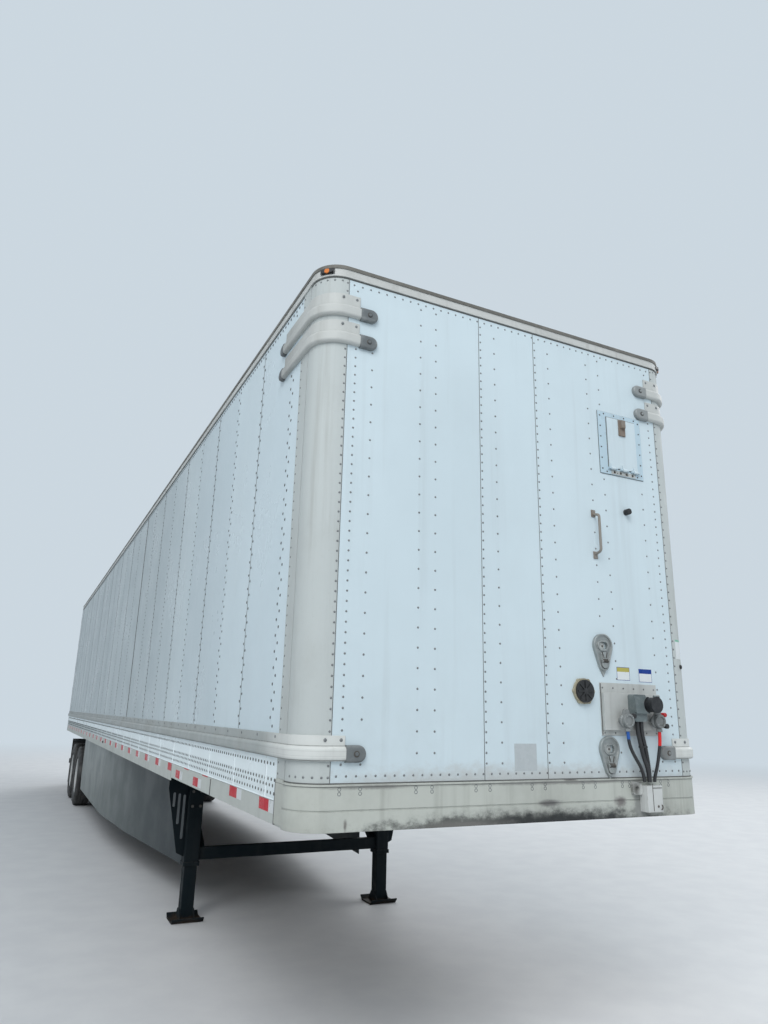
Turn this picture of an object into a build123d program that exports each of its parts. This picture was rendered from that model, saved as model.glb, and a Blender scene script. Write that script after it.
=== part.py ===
from build123d import *

import os
from math import atan2, cos, pi, radians, sin, tan

os.makedirs("parts", exist_ok=True)

# A dry van semi trailer on a sliding tandem, standing on its landing legs.
# Millimetres, +Z up, the nose faces -Y, the ground is Z = 0.

# Driving sizes of the whole trailer
length = 16154.0
overall_width = 2600.0
height = 4115.0
rail_stand = 25.0
fit = 0.3

# Driving sizes of the box
wall = 40.0
corner_radius = 150.0
coupler_height = 1200.0
coupler_plate = 10.0
crossmember_height = 102.0
floor_thickness = 35.0
bottom_rail_height = 205.0
top_rail_height = 69.0
rear_frame_depth = 120.0
rear_post_width = 60.0
rear_header_height = 110.0
post_reach = 175.0

front = -length / 2
rear = length / 2
side = overall_width / 2 - rail_stand
inside = side - wall
crossmember_bottom = coupler_height + coupler_plate
bottom_rail_top = coupler_height + bottom_rail_height
floor_bottom = crossmember_bottom + crossmember_height
floor_top = floor_bottom + floor_thickness
top_rail_bottom = height - top_rail_height
frame_front = rear - rear_frame_depth


def save(piece, name):
    """Label a finished piece and write its file."""
    piece.part.label = name
    export_step(piece.part, f"parts/{name}.step")


def block(low, high, mode=Mode.ADD):
    """Add a box between two corners to the part being built."""
    sizes = [high[i] - low[i] for i in range(3)]
    middle = [(high[i] + low[i]) / 2 for i in range(3)]
    with Locations(tuple(middle)):
        Box(*sizes, mode=mode)


# Floor deck
with BuildPart() as floor:
    block((-inside, front + wall, floor_bottom), (inside, frame_front, floor_top))
    fillet(edges().filter_by(Axis.Z).group_by(Axis.Y)[0], corner_radius - wall)
save(floor, "floor")

# Crossmembers under the floor, rolled I sections
crossmember_pitch = 305.0
crossmember_flange = 57.0
crossmember_web = 6.0
side_rail_web = 10.0
crossmember_end = side - side_rail_web
first_crossmember = front + 260.0
last_crossmember = frame_front - 120.0
crossmember_count = int((last_crossmember - first_crossmember) / crossmember_pitch) + 1

crossmember_ys = [
    first_crossmember + number * crossmember_pitch for number in range(crossmember_count)
]
flange_zs = (crossmember_bottom + crossmember_web / 2, floor_bottom - crossmember_web / 2)

with BuildPart() as crossmembers:
    with BuildSketch(Plane.YZ.offset(-crossmember_end)):
        with Locations([(y, crossmember_bottom + crossmember_height / 2) for y in crossmember_ys]):
            Rectangle(crossmember_web, crossmember_height)
        with Locations([(y, z) for y in crossmember_ys for z in flange_zs]):
            Rectangle(crossmember_flange, crossmember_web)
    extrude(amount=2 * crossmember_end)
save(crossmembers, "crossmembers")

# Side bottom rails: web, lower flange, wall seat and a deeper lip behind the landing legs
side_rail_bottom = crossmember_bottom - 8.0
side_rail_top = bottom_rail_top + 7.0
side_rail_flange = 60.0
lip_start = front + 2920.0
lip_depth = 22.0
lip_thickness = 6.0

with BuildPart() as side_rails:
    with BuildSketch(Plane.XZ.offset(-(front + post_reach))):
        with BuildLine():
            Polyline(
                (side, side_rail_bottom),
                (side, side_rail_top),
                (inside, side_rail_top),
                (inside, floor_bottom),
                (crossmember_end, floor_bottom),
                (crossmember_end, crossmember_bottom),
                (side - side_rail_flange, crossmember_bottom),
                (side - side_rail_flange, side_rail_bottom),
                close=True,
            )
        make_face()
    extrude(amount=-(frame_front - front - post_reach))
    block(
        (side - lip_thickness, lip_start, side_rail_bottom - lip_depth),
        (side, frame_front, side_rail_bottom),
    )
    mirror(about=Plane.YZ)
save(side_rails, "side_rails")

# Side walls: riveted panels between the corner post and the rear frame
first_post = 430.0
post_pitch = 610.0
first_seam = front + first_post + post_pitch
panel_width = 2 * post_pitch
seam_count = int((frame_front - first_seam) / panel_width) + 1
side_seams = [front + post_reach]
side_seams += [first_seam + number * panel_width for number in range(seam_count)]
side_seams += [frame_front]

for side_name, sign in (("kerb", -1), ("road", 1)):
    with BuildPart() as side_wall:
        with BuildSketch(Plane.XY.offset(side_rail_top)):
            for start, end in zip(side_seams[:-1], side_seams[1:]):
                with Locations((sign * (side - wall / 2), (start + end) / 2)):
                    Rectangle(wall, end - start - 2 * fit)
        extrude(amount=top_rail_bottom - side_rail_top)
    save(side_wall, f"side_wall_{side_name}")


def nose_band(stand_out, depth, bottom, top, reach):
    """Add a band that wraps the nose, from its stand-out to its depth behind the faces."""
    run = 2 * reach + 2 * corner_radius
    with BuildSketch(Plane.XY.offset(bottom)) as outline:
        with Locations((0, front + run / 2)):
            RectangleRounded(
                2 * (side + stand_out), run + 2 * stand_out, corner_radius + stand_out
            )
            RectangleRounded(
                2 * (side - depth),
                run - 2 * depth,
                corner_radius - depth,
                mode=Mode.SUBTRACT,
            )
        with Locations((0, front + reach + run / 2)):
            Rectangle(3 * side, run, mode=Mode.SUBTRACT)
    extrude(outline.sketch, amount=top - bottom)


# Front bottom rail, wrapped round both corners, with a groove along it and a top lip
front_rail_stand = 6.0
front_rail_groove = coupler_height + 87.0
groove_height = 7.0
front_rail_lip = 9.0
lip_stand = 11.0

with BuildPart() as front_bottom_rail:
    for stand_out, bottom, top in (
        (front_rail_stand, coupler_height, front_rail_groove),
        (front_rail_stand - 3, front_rail_groove, front_rail_groove + groove_height),
        (front_rail_stand, front_rail_groove + groove_height, bottom_rail_top - front_rail_lip),
        (lip_stand, bottom_rail_top - front_rail_lip, bottom_rail_top),
    ):
        nose_band(stand_out, wall, bottom, top, post_reach)
save(front_bottom_rail, "front_bottom_rail")

# Front top rail: a drip lip, the face and a bead along the roof edge
top_rail_stand = 5.0
top_bead_height = 18.0
top_bead_stand = 9.0
drip_height = 6.0

with BuildPart() as front_top_rail:
    for stand_out, bottom, top in (
        (top_bead_stand, top_rail_bottom, top_rail_bottom + drip_height),
        (top_rail_stand, top_rail_bottom + drip_height, height - top_bead_height),
        (top_bead_stand, height - top_bead_height, height),
    ):
        nose_band(stand_out, wall, bottom, top, post_reach)
save(front_top_rail, "front_top_rail")

# Side top rails with the same section
with BuildPart() as top_rails:
    for stand_out, bottom, top in (
        (top_bead_stand, top_rail_bottom, top_rail_bottom + drip_height),
        (top_rail_stand, top_rail_bottom + drip_height, height - top_bead_height),
        (top_bead_stand, height - top_bead_height, height),
    ):
        block((inside, front + post_reach, bottom), (side + stand_out, frame_front, top))
    mirror(about=Plane.YZ)
save(top_rails, "top_rails")

# Corner posts, quarter round in plan
post_front_edge = side - corner_radius - 7.0
corner_centre = (side - corner_radius, front + corner_radius)

with BuildPart() as corner_posts:
    with BuildSketch(Plane.XY.offset(bottom_rail_top)):
        with BuildLine():
            outer = CenterArc(corner_centre, corner_radius, -90, 90)
            inner = CenterArc(corner_centre, corner_radius - wall, 0, -90)
            Polyline(
                outer @ 1, (side, front + post_reach), (inside, front + post_reach), inner @ 0
            )
            Polyline(
                inner @ 1, (post_front_edge, front + wall), (post_front_edge, front), outer @ 0
            )
        make_face()
    extrude(amount=top_rail_bottom - bottom_rail_top)
    mirror(about=Plane.YZ)
save(corner_posts, "corner_posts")

# Vent in the front wall, on the road side
vent_x = 813.0
vent_z = height - 692.0
vent_hole_width = 210.0
vent_hole_height = 310.0

# Front wall: three riveted panels, the road-side one with the vent hole
front_seams = (-post_front_edge, -270.0, 132.0, post_front_edge)

with BuildPart() as front_wall:
    for start, end in zip(front_seams[:-1], front_seams[1:]):
        block((start + fit, front, bottom_rail_top), (end - fit, front + wall, top_rail_bottom))
    block(
        (vent_x - vent_hole_width / 2, front - wall, vent_z - vent_hole_height / 2),
        (vent_x + vent_hole_width / 2, front + 2 * wall, vent_z + vent_hole_height / 2),
        Mode.SUBTRACT,
    )
save(front_wall, "front_wall")

# Roof sheet on its bows
roof_sheet = 10.0
roof_drop = 4.0
bow_depth = 38.0
bow_width = 50.0
roof_underside = height - roof_drop - roof_sheet
bow_count = int((frame_front - front - wall) / post_pitch)

with BuildPart() as roof:
    block((-inside, front + wall, roof_underside), (inside, frame_front, height - roof_drop))
    fillet(edges().filter_by(Axis.Z).group_by(Axis.Y)[0], corner_radius - wall)
    for number in range(bow_count):
        y = front + first_post + number * post_pitch
        block(
            (-inside, y - bow_width / 2, roof_underside - bow_depth),
            (inside, y + bow_width / 2, roof_underside),
        )
save(roof, "roof")


# Bumper rails: a riveted flange above a rounded bulge, bent round each front corner
bulge_height = 66.0
bulge_round = 17.0
flange_stand = 7.0
bumper_rail_start = 1050.0
bumper_rail_end = front + 575.0
rub_rail_bottom = bottom_rail_top + 101.0
rub_rail_height = 114.0
upper_rail_height = 135.0
upper_rail_bottoms = (height - 475.0, height - 310.0)


def bumper_rail(bottom, tall, end):
    """Add one rail of the right side, from its front end round the corner to its end."""
    with BuildLine() as route:
        FilletPolyline(
            (bumper_rail_start, front, bottom),
            (side, front, bottom),
            (side, end, bottom),
            radius=corner_radius,
        )
    start = Plane(
        origin=(bumper_rail_start, front, bottom), x_dir=(0, -1, 0), z_dir=(-1, 0, 0)
    )
    with BuildSketch(start) as section:
        with Locations((rail_stand / 2, bulge_height / 2)):
            Rectangle(rail_stand, bulge_height)
        fillet(vertices().sort_by(Axis.X)[-2:], bulge_round)
        with Locations((flange_stand / 2, tall / 2)):
            Rectangle(flange_stand, tall)
    sweep(section.sketch, path=route.wires()[0])


with BuildPart() as rub_rails:
    bumper_rail(rub_rail_bottom, rub_rail_height, frame_front)
    mirror(about=Plane.YZ)
save(rub_rails, "rub_rails")

with BuildPart() as corner_rails:
    for rail_bottom in upper_rail_bottoms:
        bumper_rail(rail_bottom, upper_rail_height, bumper_rail_end)
    mirror(about=Plane.YZ)
save(corner_rails, "corner_rails")

# Cast caps that close the front ends of the rails, a rounded nose with a bolt in it
cap_length = 105.0
cap_height = 78.0
cap_round = 12.0
cap_bolt_radius = 9.0

with BuildPart() as rail_end_caps:
    for rail_bottom in (rub_rail_bottom, *upper_rail_bottoms):
        with BuildSketch(Plane.XZ.offset(-front)):
            with BuildLine():
                z = rail_bottom + bulge_height / 2
                nose = bumper_rail_start - cap_length + cap_height / 2
                tip = CenterArc((nose, z), cap_height / 2, 90, 180)
                Polyline(
                    tip @ 1,
                    (bumper_rail_start - fit, z - cap_height / 2),
                    (bumper_rail_start - fit, z + cap_height / 2),
                    tip @ 0,
                )
            make_face()
        extrude(amount=rail_stand)
    outer_faces = faces().filter_by(Axis.Y).group_by(Axis.Y)[0]
    rims = outer_faces.edges().filter_by(lambda edge: edge.center().X < bumper_rail_start - 2)
    fillet(rims, cap_round)
    for rail_bottom in (rub_rail_bottom, *upper_rail_bottoms):
        with Locations(
            Location(
                (
                    bumper_rail_start - cap_length / 2,
                    front - rail_stand - 2.0,
                    rail_bottom + bulge_height / 2,
                ),
                (90, 0, 0),
            )
        ):
            Cylinder(cap_bolt_radius, 6.0)
    mirror(about=Plane.YZ)
save(rail_end_caps, "rail_end_caps")

# Rear frame: sill, two posts and header round the doorway, with the fixed hinge knuckles
rear_sill_bottom = crossmember_bottom - 30.0
doorway_half = side - rear_post_width
header_bottom = height - rear_header_height
hinge_count = 5
hinge_pin_x = side - 12.0
hinge_pin_y = rear + 24.0
hinge_pin_radius = 8.0
knuckle_radius = 13.0
door_knuckle_height = 60.0
frame_knuckle_height = 30.0
knuckle_gap = 1.0
hinge_margin = 220.0
hinge_pitch = (header_bottom - floor_top - 2 * hinge_margin) / (hinge_count - 1)
hinge_heights = [
    floor_top + hinge_margin + number * hinge_pitch for number in range(hinge_count)
]
knuckle_reach = door_knuckle_height / 2 + knuckle_gap + frame_knuckle_height

# Lock rods with their cams, handles and guides
rod_radius = 13.5
rod_stand = 27.0
rod_offsets = (340.0, 860.0)
rod_low = floor_top - 60.0
rod_high = header_bottom + 50.0
cam_width = 34.0
cam_height = 26.0
cam_depth = 26.0
cam_clear = 3.0
guide_width = 70.0
guide_height = 44.0
guide_heights = (
    floor_top + 110.0,
    floor_top + 900.0,
    floor_top + 1750.0,
    header_bottom - 170.0,
)
lever_height = floor_top + 213.0
lever_length = 290.0
lever_section = 28.0
lever_thickness = 10.0
rod_y = rear + rod_stand

# Keepers on the rear frame that hold the cams, open to the rear
keeper_cheek = 8.0
keeper_clear = 9.0
keeper_stand = 32.0
keeper_height = 46.0

with BuildPart() as rear_frame:
    block((-side, frame_front, rear_sill_bottom), (side, rear, height))
    block(
        (-doorway_half, frame_front - 1, floor_top),
        (doorway_half, rear + 1, header_bottom),
        Mode.SUBTRACT,
    )
    for z in hinge_heights:
        for low in (z - knuckle_reach, z + knuckle_reach - frame_knuckle_height):
            with BuildSketch(Plane.XY.offset(low)):
                with Locations((hinge_pin_x, hinge_pin_y)):
                    Circle(knuckle_radius)
                with Locations((hinge_pin_x, (rear + hinge_pin_y) / 2)):
                    Rectangle(1.6 * knuckle_radius, hinge_pin_y - rear)
            extrude(amount=frame_knuckle_height)
        with Locations((hinge_pin_x, hinge_pin_y, z)):
            Cylinder(hinge_pin_radius, 2 * knuckle_reach)
    cheek_x = cam_width / 2 + keeper_clear + keeper_cheek / 2
    with BuildSketch(Plane.XY.offset(rod_low - keeper_height / 2)) as cheeks:
        with Locations(
            [(x + way * cheek_x, rear + keeper_stand / 2) for x in rod_offsets for way in (-1, 1)]
        ):
            Rectangle(keeper_cheek, keeper_stand)
    extrude(cheeks.sketch, amount=keeper_height)
    extrude(cheeks.sketch.moved(Location((0, 0, rod_high - rod_low))), amount=keeper_height)
    mirror(about=Plane.YZ)
save(rear_frame, "rear_frame")

# Rear doors: plywood-cored panels that close inside the doorway
door_clear = 6.0
door_thickness = 36.0
door_border = 55.0
door_recess = 3.0
door_low = floor_top + door_clear
door_high = header_bottom - door_clear
door_outer_x = doorway_half - door_clear
door_inner_x = door_clear / 2

# Hinge straps on the doors, wrapped round the pins
strap_length = 150.0
strap_thickness = 6.0
strap_height = 50.0
strap_bore_clear = 0.3

for side_name, sign in (("kerb", -1), ("road", 1)):
    with BuildPart() as rear_door:
        x_low, x_high = sorted((sign * door_inner_x, sign * door_outer_x))
        block((x_low, rear - door_thickness, door_low), (x_high, rear, door_high))
        block(
            (x_low + door_border, rear - door_recess, door_low + door_border),
            (x_high - door_border, rear + 1, door_high - door_border),
            Mode.SUBTRACT,
        )
    save(rear_door, f"rear_door_{side_name}")

    with BuildPart() as door_hardware:
        for z in hinge_heights:
            pin = (sign * hinge_pin_x, hinge_pin_y)
            strap_end = sign * (hinge_pin_x - strap_length)
            with BuildSketch(Plane.XY.offset(z - door_knuckle_height / 2)):
                with Locations(pin):
                    Circle(knuckle_radius)
                with Locations(
                    ((pin[0] + sign * (door_outer_x - hinge_pin_x - 4) / 2), rear + strap_thickness / 2)
                ):
                    Rectangle(hinge_pin_x - door_outer_x + 4, strap_thickness)
                with Locations((sign * (hinge_pin_x - knuckle_radius / 2), (rear + hinge_pin_y) / 2)):
                    Rectangle(knuckle_radius, hinge_pin_y - rear)
                with Locations(pin):
                    Circle(hinge_pin_radius + strap_bore_clear, mode=Mode.SUBTRACT)
            extrude(amount=door_knuckle_height)
            x_low, x_high = sorted((strap_end, sign * door_outer_x))
            block(
                (x_low, rear, z - strap_height / 2),
                (x_high, rear + strap_thickness, z + strap_height / 2),
            )
        for offset_x in rod_offsets:
            x = sign * offset_x
            with Locations((x, rod_y, (rod_low + rod_high) / 2)):
                Cylinder(rod_radius, rod_high - rod_low)
            for cam_z in (rod_low, rod_high):
                block(
                    (x - cam_width / 2, rear + cam_clear, cam_z - cam_height / 2),
                    (x + cam_width / 2, rear + cam_clear + cam_depth, cam_z + cam_height / 2),
                )
            for guide_z in guide_heights:
                block(
                    (x - guide_width / 2, rear - door_recess, guide_z - guide_height / 2),
                    (x + guide_width / 2, rear + strap_thickness, guide_z + guide_height / 2),
                )
                block(
                    (x - rod_radius - 5, rear, guide_z - guide_height / 2),
                    (x + rod_radius + 5, rod_y + rod_radius + 5, guide_z + guide_height / 2),
                )
            x_low, x_high = sorted((x, x - sign * lever_length))
            block(
                (x_low, rod_y + rod_radius - 4, lever_height - lever_section / 2),
                (x_high, rod_y + rod_radius + lever_thickness - 4, lever_height + lever_section / 2),
            )
            catch_x = x - sign * (lever_length - 50)
            block(
                (catch_x - 22, rear - door_recess, lever_height - 40),
                (catch_x + 22, rod_y + rod_radius - 4, lever_height + 40),
            )
    save(door_hardware, f"door_hardware_{side_name}")

# Upper coupler: the plate with its turned-up edges and the kingpin
coupler_half = 560.0
coupler_start = front + 230.0
coupler_end = front + 1560.0
kingpin_y = front + 914.0
kingpin_collar_radius = 36.5
kingpin_collar = 16.7
kingpin_neck_radius = 25.4
kingpin_foot_radius = 35.7
kingpin_foot = 17.5
kingpin_length = 84.1

coupler_nose = 90.0
coupler_nose_rise = 8.0

with BuildPart() as coupler:
    with BuildSketch(Plane.YZ.offset(-coupler_half)):
        with BuildLine():
            Polyline(
                (coupler_start - coupler_nose, coupler_height + coupler_nose_rise),
                (coupler_start, coupler_height),
                (coupler_end, coupler_height),
                (coupler_end + coupler_nose, coupler_height + coupler_nose_rise),
                (coupler_end + coupler_nose, coupler_height + coupler_plate),
                (coupler_start - coupler_nose, coupler_height + coupler_plate),
                close=True,
            )
        make_face()
    extrude(amount=2 * coupler_half)
    with BuildSketch(Plane(origin=(0, kingpin_y, 0), x_dir=(1, 0, 0), z_dir=(0, -1, 0))):
        with BuildLine():
            Polyline(
                (0, coupler_height),
                (kingpin_collar_radius, coupler_height),
                (kingpin_collar_radius, coupler_height - kingpin_collar),
                (kingpin_neck_radius, coupler_height - kingpin_collar),
                (kingpin_neck_radius, coupler_height - kingpin_length + kingpin_foot),
                (kingpin_foot_radius, coupler_height - kingpin_length + kingpin_foot),
                (kingpin_foot_radius, coupler_height - kingpin_length),
                (0, coupler_height - kingpin_length),
                close=True,
            )
        make_face()
    revolve(axis=Axis((0, kingpin_y, 0), (0, 0, 1)))
save(coupler, "upper_coupler")

# Landing gear: square telescopic legs with feet
leg_x = 914.0
leg_y = front + 3600.0
leg_tube = 127.0
leg_top = crossmember_bottom
leg_tube_bottom = 430.0
leg_slide = 108.0
leg_edge = 12.0
slide_edge = 6.0
leg_collar = 7.0
leg_collar_height = 30.0
leg_slide_top = leg_top - 450.0
foot_width = 264.0
foot_depth = 254.0
foot_plate = 12.0
foot_turn_up = 30.0
foot_ear = 95.0
foot_ear_thickness = 10.0

with BuildPart() as landing_legs:
    for size, top in (
        (leg_tube, leg_top),
        (leg_tube + 2 * leg_collar, leg_tube_bottom + leg_collar_height),
    ):
        with BuildSketch(Plane.XY.offset(leg_tube_bottom)):
            with Locations((leg_x, leg_y)):
                RectangleRounded(size, size, leg_edge)
        extrude(amount=top - leg_tube_bottom)
    block(
        (leg_x - leg_slide / 2 - fit, leg_y - leg_slide / 2 - fit, leg_tube_bottom - 1),
        (leg_x + leg_slide / 2 + fit, leg_y + leg_slide / 2 + fit, leg_slide_top),
        Mode.SUBTRACT,
    )
    mirror(about=Plane.YZ)
save(landing_legs, "landing_legs")

with BuildPart() as landing_feet:
    with BuildSketch(Plane.XY.offset(foot_plate)):
        with Locations((leg_x, leg_y)):
            RectangleRounded(leg_slide, leg_slide, slide_edge)
    extrude(amount=leg_slide_top - foot_plate)
    with BuildSketch(Plane.YZ.offset(leg_x - foot_width / 2)):
        with BuildLine():
            Polyline(
                (leg_y - foot_depth / 2, foot_turn_up),
                (leg_y - foot_depth / 2 + foot_turn_up, 0),
                (leg_y + foot_depth / 2 - foot_turn_up, 0),
                (leg_y + foot_depth / 2, foot_turn_up),
                (leg_y + foot_depth / 2, foot_turn_up + foot_plate),
                (leg_y + foot_depth / 2 - foot_turn_up, foot_plate),
                (leg_y - foot_depth / 2 + foot_turn_up, foot_plate),
                (leg_y - foot_depth / 2, foot_turn_up + foot_plate),
                close=True,
            )
        make_face()
    extrude(amount=foot_width)
    for ear_side in (-1, 1):
        ear_x = leg_x + ear_side * (leg_slide / 2 + foot_ear_thickness / 2)
        with BuildSketch(Plane.YZ.offset(ear_x - foot_ear_thickness / 2)):
            with BuildLine():
                Polyline(
                    (leg_y - foot_ear, foot_plate),
                    (leg_y + foot_ear, foot_plate),
                    (leg_y + leg_slide / 3, foot_ear),
                    (leg_y - leg_slide / 3, foot_ear),
                    close=True,
                )
            make_face()
        extrude(amount=foot_ear_thickness)
    mirror(about=Plane.YZ)
save(landing_feet, "landing_feet")

# Landing gear bracing: slotted wing plates, a cross channel and long diagonal stays
wing_top_x = 1150.0
wing_low_x = leg_x + leg_tube / 2
wing_low_z = 500.0
wing_waist_x = 1040.0
wing_knee_z = leg_top - 160.0
wing_plate = 8.0
wing_slots = ((1008.0, 570.0, 210.0), (1052.0, 450.0, 200.0), (1096.0, 310.0, 190.0))
wing_slot_width = 22.0
brace_low = 470.0
brace_high = 567.0
brace_depth = 60.0
brace_wall = 6.0
stay_section = 50.0
stay_run = 900.0
stay_x = leg_x - leg_tube / 2 - stay_section / 2

with BuildPart() as landing_braces:
    with BuildSketch(Plane.XZ.offset(-(leg_y + wing_plate / 2))):
        with BuildLine():
            Polyline(
                (wing_low_x, wing_low_z),
                (wing_waist_x, wing_low_z + 30),
                (wing_top_x, wing_knee_z),
                (wing_top_x, leg_top),
                (wing_low_x, leg_top),
                close=True,
            )
        make_face()
        for slot_x, slot_foot, slot_head in wing_slots:
            with Locations((slot_x, leg_top - (slot_foot + slot_head) / 2)):
                SlotOverall(
                    slot_foot - slot_head, wing_slot_width, rotation=90, mode=Mode.SUBTRACT
                )
    extrude(amount=wing_plate)
    stay_start = leg_y - stay_section / 2
    stay_angle = atan2(leg_top - brace_high, stay_run)
    stay_rise = stay_section / cos(stay_angle)
    with BuildSketch(Plane.YZ.offset(stay_x - stay_section / 2)):
        with BuildLine():
            Polyline(
                (stay_start, brace_high - stay_rise),
                (stay_start, brace_high),
                (stay_start + stay_run, leg_top),
                (stay_start + stay_run + stay_section / sin(stay_angle), leg_top),
                close=True,
            )
        make_face()
    extrude(amount=stay_section)
    mirror(about=Plane.YZ)
    brace_end = leg_x - leg_tube / 2
    block(
        (-brace_end, leg_y - brace_depth / 2, brace_low),
        (brace_end, leg_y + brace_depth / 2, brace_high),
    )
    block(
        (-brace_end - 1, leg_y - brace_depth / 2 + brace_wall, brace_low + brace_wall),
        (brace_end + 1, leg_y + brace_depth / 2 + 1, brace_high - brace_wall),
        Mode.SUBTRACT,
    )
save(landing_braces, "landing_braces")

# Gearbox on the road-side leg, the cross shaft and the folded crank
gearbox_size = (95.0, 150.0, 210.0)
gearbox_z = leg_top - 210.0
gearbox_round = 20.0
gearbox_cover_radius = 38.0
gearbox_cover = 10.0
cross_shaft_radius = 13.0
crank_radius = 11.0
crank_reach = side - 60.0
crank_arm = 330.0
crank_grip = 110.0

with BuildPart() as landing_crank:
    gearbox_x = leg_x + leg_tube / 2
    gearbox_front = leg_y - gearbox_size[1] / 2
    with BuildSketch(Plane.XZ.offset(-gearbox_front)) as gearbox_face:
        with Locations((gearbox_x + gearbox_size[0] / 2, gearbox_z)):
            RectangleRounded(gearbox_size[0], gearbox_size[2], gearbox_round)
    extrude(gearbox_face.sketch, amount=-(gearbox_size[1] - wing_plate) / 2)
    with BuildSketch(Plane.XZ.offset(-gearbox_front)):
        with Locations((gearbox_x + gearbox_size[0] / 2, gearbox_z - gearbox_size[0] / 2)):
            Circle(gearbox_cover_radius)
    extrude(amount=gearbox_cover)
    shaft_y = leg_y - gearbox_size[1] / 4
    with Locations(Location(((gearbox_x + crank_reach) / 2, shaft_y, gearbox_z), (0, 90, 0))):
        Cylinder(crank_radius, crank_reach - gearbox_x)
    block(
        (crank_reach - 8, shaft_y - crank_arm, gearbox_z - 16),
        (crank_reach + 8, shaft_y + 16, gearbox_z + 16),
    )
    with Locations(
        Location(
            (crank_reach - crank_grip / 2, shaft_y - crank_arm + crank_radius, gearbox_z),
            (0, 90, 0),
        )
    ):
        Cylinder(crank_radius, crank_grip)
    with Locations(Location((0, leg_y, gearbox_z), (0, 90, 0))):
        Cylinder(cross_shaft_radius, 2 * (leg_x - leg_tube / 2))
save(landing_crank, "landing_crank")

# Side skirts: a curved front run that closes in behind the legs, then a straight run
skirt_thickness = 8.0
skirt_bottom = 350.0
skirt_top = side_rail_bottom
skirt_start = front + 4000.0
skirt_start_x = side - 400.0
skirt_bend_y = front + 6100.0
skirt_bend_x = side - 150.0
skirt_flush_y = front + 7700.0
skirt_flush_x = side - 35.0
skirt_end = front + 11180.0
skirt_bend_radius = 3000.0
skirt_corner = 130.0

with BuildPart() as side_skirts:
    with BuildLine() as skirt_route:
        FilletPolyline(
            (skirt_start_x, skirt_start, skirt_bottom),
            (skirt_bend_x, skirt_bend_y, skirt_bottom),
            (skirt_flush_x, skirt_flush_y, skirt_bottom),
            (skirt_flush_x, skirt_end, skirt_bottom),
            radius=skirt_bend_radius,
        )
    with BuildSketch(
        Plane(
            origin=(skirt_start_x, skirt_start, skirt_bottom),
            x_dir=(skirt_bend_y - skirt_start, skirt_start_x - skirt_bend_x, 0),
            z_dir=(skirt_start_x - skirt_bend_x, skirt_start - skirt_bend_y, 0),
        )
    ):
        with Locations((0, (skirt_top - skirt_bottom) / 2)):
            Rectangle(skirt_thickness, skirt_top - skirt_bottom)
    sweep(path=skirt_route.wires()[0])
    with BuildSketch(Plane.YZ.offset(skirt_start_x - 100)):
        with BuildLine():
            Polyline(
                (skirt_end + 1, skirt_bottom - 1),
                (skirt_end + 1, skirt_bottom + 2 * skirt_corner),
                (skirt_end - skirt_corner, skirt_bottom - 1),
                close=True,
            )
        make_face()
    extrude(amount=side, mode=Mode.SUBTRACT)
    mirror(about=Plane.YZ)
save(side_skirts, "side_skirts")

# Skirt struts from the crossmembers to the inside of the skirts
strut_start = front + 7900.0
strut_pitch = 2.5 * crossmember_pitch
strut_count = 5
strut_width = 50.0
strut_foot_z = 620.0
strut_head_x = 880.0
strut_depth = 8.0

with BuildPart() as skirt_struts:
    for number in range(strut_count):
        y = strut_start + number * strut_pitch
        inner = skirt_flush_x - skirt_thickness / 2
        with BuildSketch(Plane.XZ.offset(-(y + strut_width / 2))):
            with BuildLine():
                Polyline(
                    (inner, strut_foot_z - 60),
                    (inner, strut_foot_z + 60),
                    (strut_head_x + 90, crossmember_bottom),
                    (strut_head_x, crossmember_bottom),
                    (strut_head_x, crossmember_bottom - strut_depth),
                    close=True,
                )
            make_face()
        extrude(amount=strut_width)
    mirror(about=Plane.YZ)
save(skirt_struts, "skirt_struts")

# Slider: body rails under the floor and the sliding frame that hangs from them
slider_start = front + 9700.0
slider_end = rear - 700.0
slider_x = 495.0
body_rail_width = 76.0
body_rail_height = 100.0
body_rail_wall = 9.0
slider_top = crossmember_bottom - body_rail_height
frame_rail_height = 120.0
frame_rail_bottom = slider_top - frame_rail_height
frame_half_width = 45.0
first_axle_y = front + 11861.0
axle_spread = 1245.0
second_axle_y = first_axle_y + axle_spread
hanger_reach = axle_spread / 2
slider_frame_start = first_axle_y - hanger_reach - 160.0
slider_frame_end = second_axle_y + hanger_reach + 160.0
frame_cross_ys = (
    first_axle_y - hanger_reach,
    first_axle_y + axle_spread / 2,
    second_axle_y + hanger_reach,
)
frame_cross_depth = 90.0
flap_y = second_axle_y + 700.0
flap_bar_radius = 21.0
flap_bar_z = frame_rail_bottom + 60.0
flap_outer_x = side
flap_inner_x = flap_outer_x - 610.0

with BuildPart() as slider_rails:
    with BuildSketch(Plane.XZ.offset(-slider_end)):
        with BuildLine():
            Polyline(
                (slider_x - body_rail_width / 2, crossmember_bottom),
                (slider_x + body_rail_wall / 2, crossmember_bottom),
                (slider_x + body_rail_wall / 2, slider_top + body_rail_wall),
                (slider_x + body_rail_width / 2, slider_top + body_rail_wall),
                (slider_x + body_rail_width / 2, slider_top),
                (slider_x - body_rail_wall / 2, slider_top),
                (slider_x - body_rail_wall / 2, crossmember_bottom - body_rail_wall),
                (slider_x - body_rail_width / 2, crossmember_bottom - body_rail_wall),
                close=True,
            )
        make_face()
    extrude(amount=slider_end - slider_start)
    mirror(about=Plane.YZ)
save(slider_rails, "slider_rails")

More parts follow.
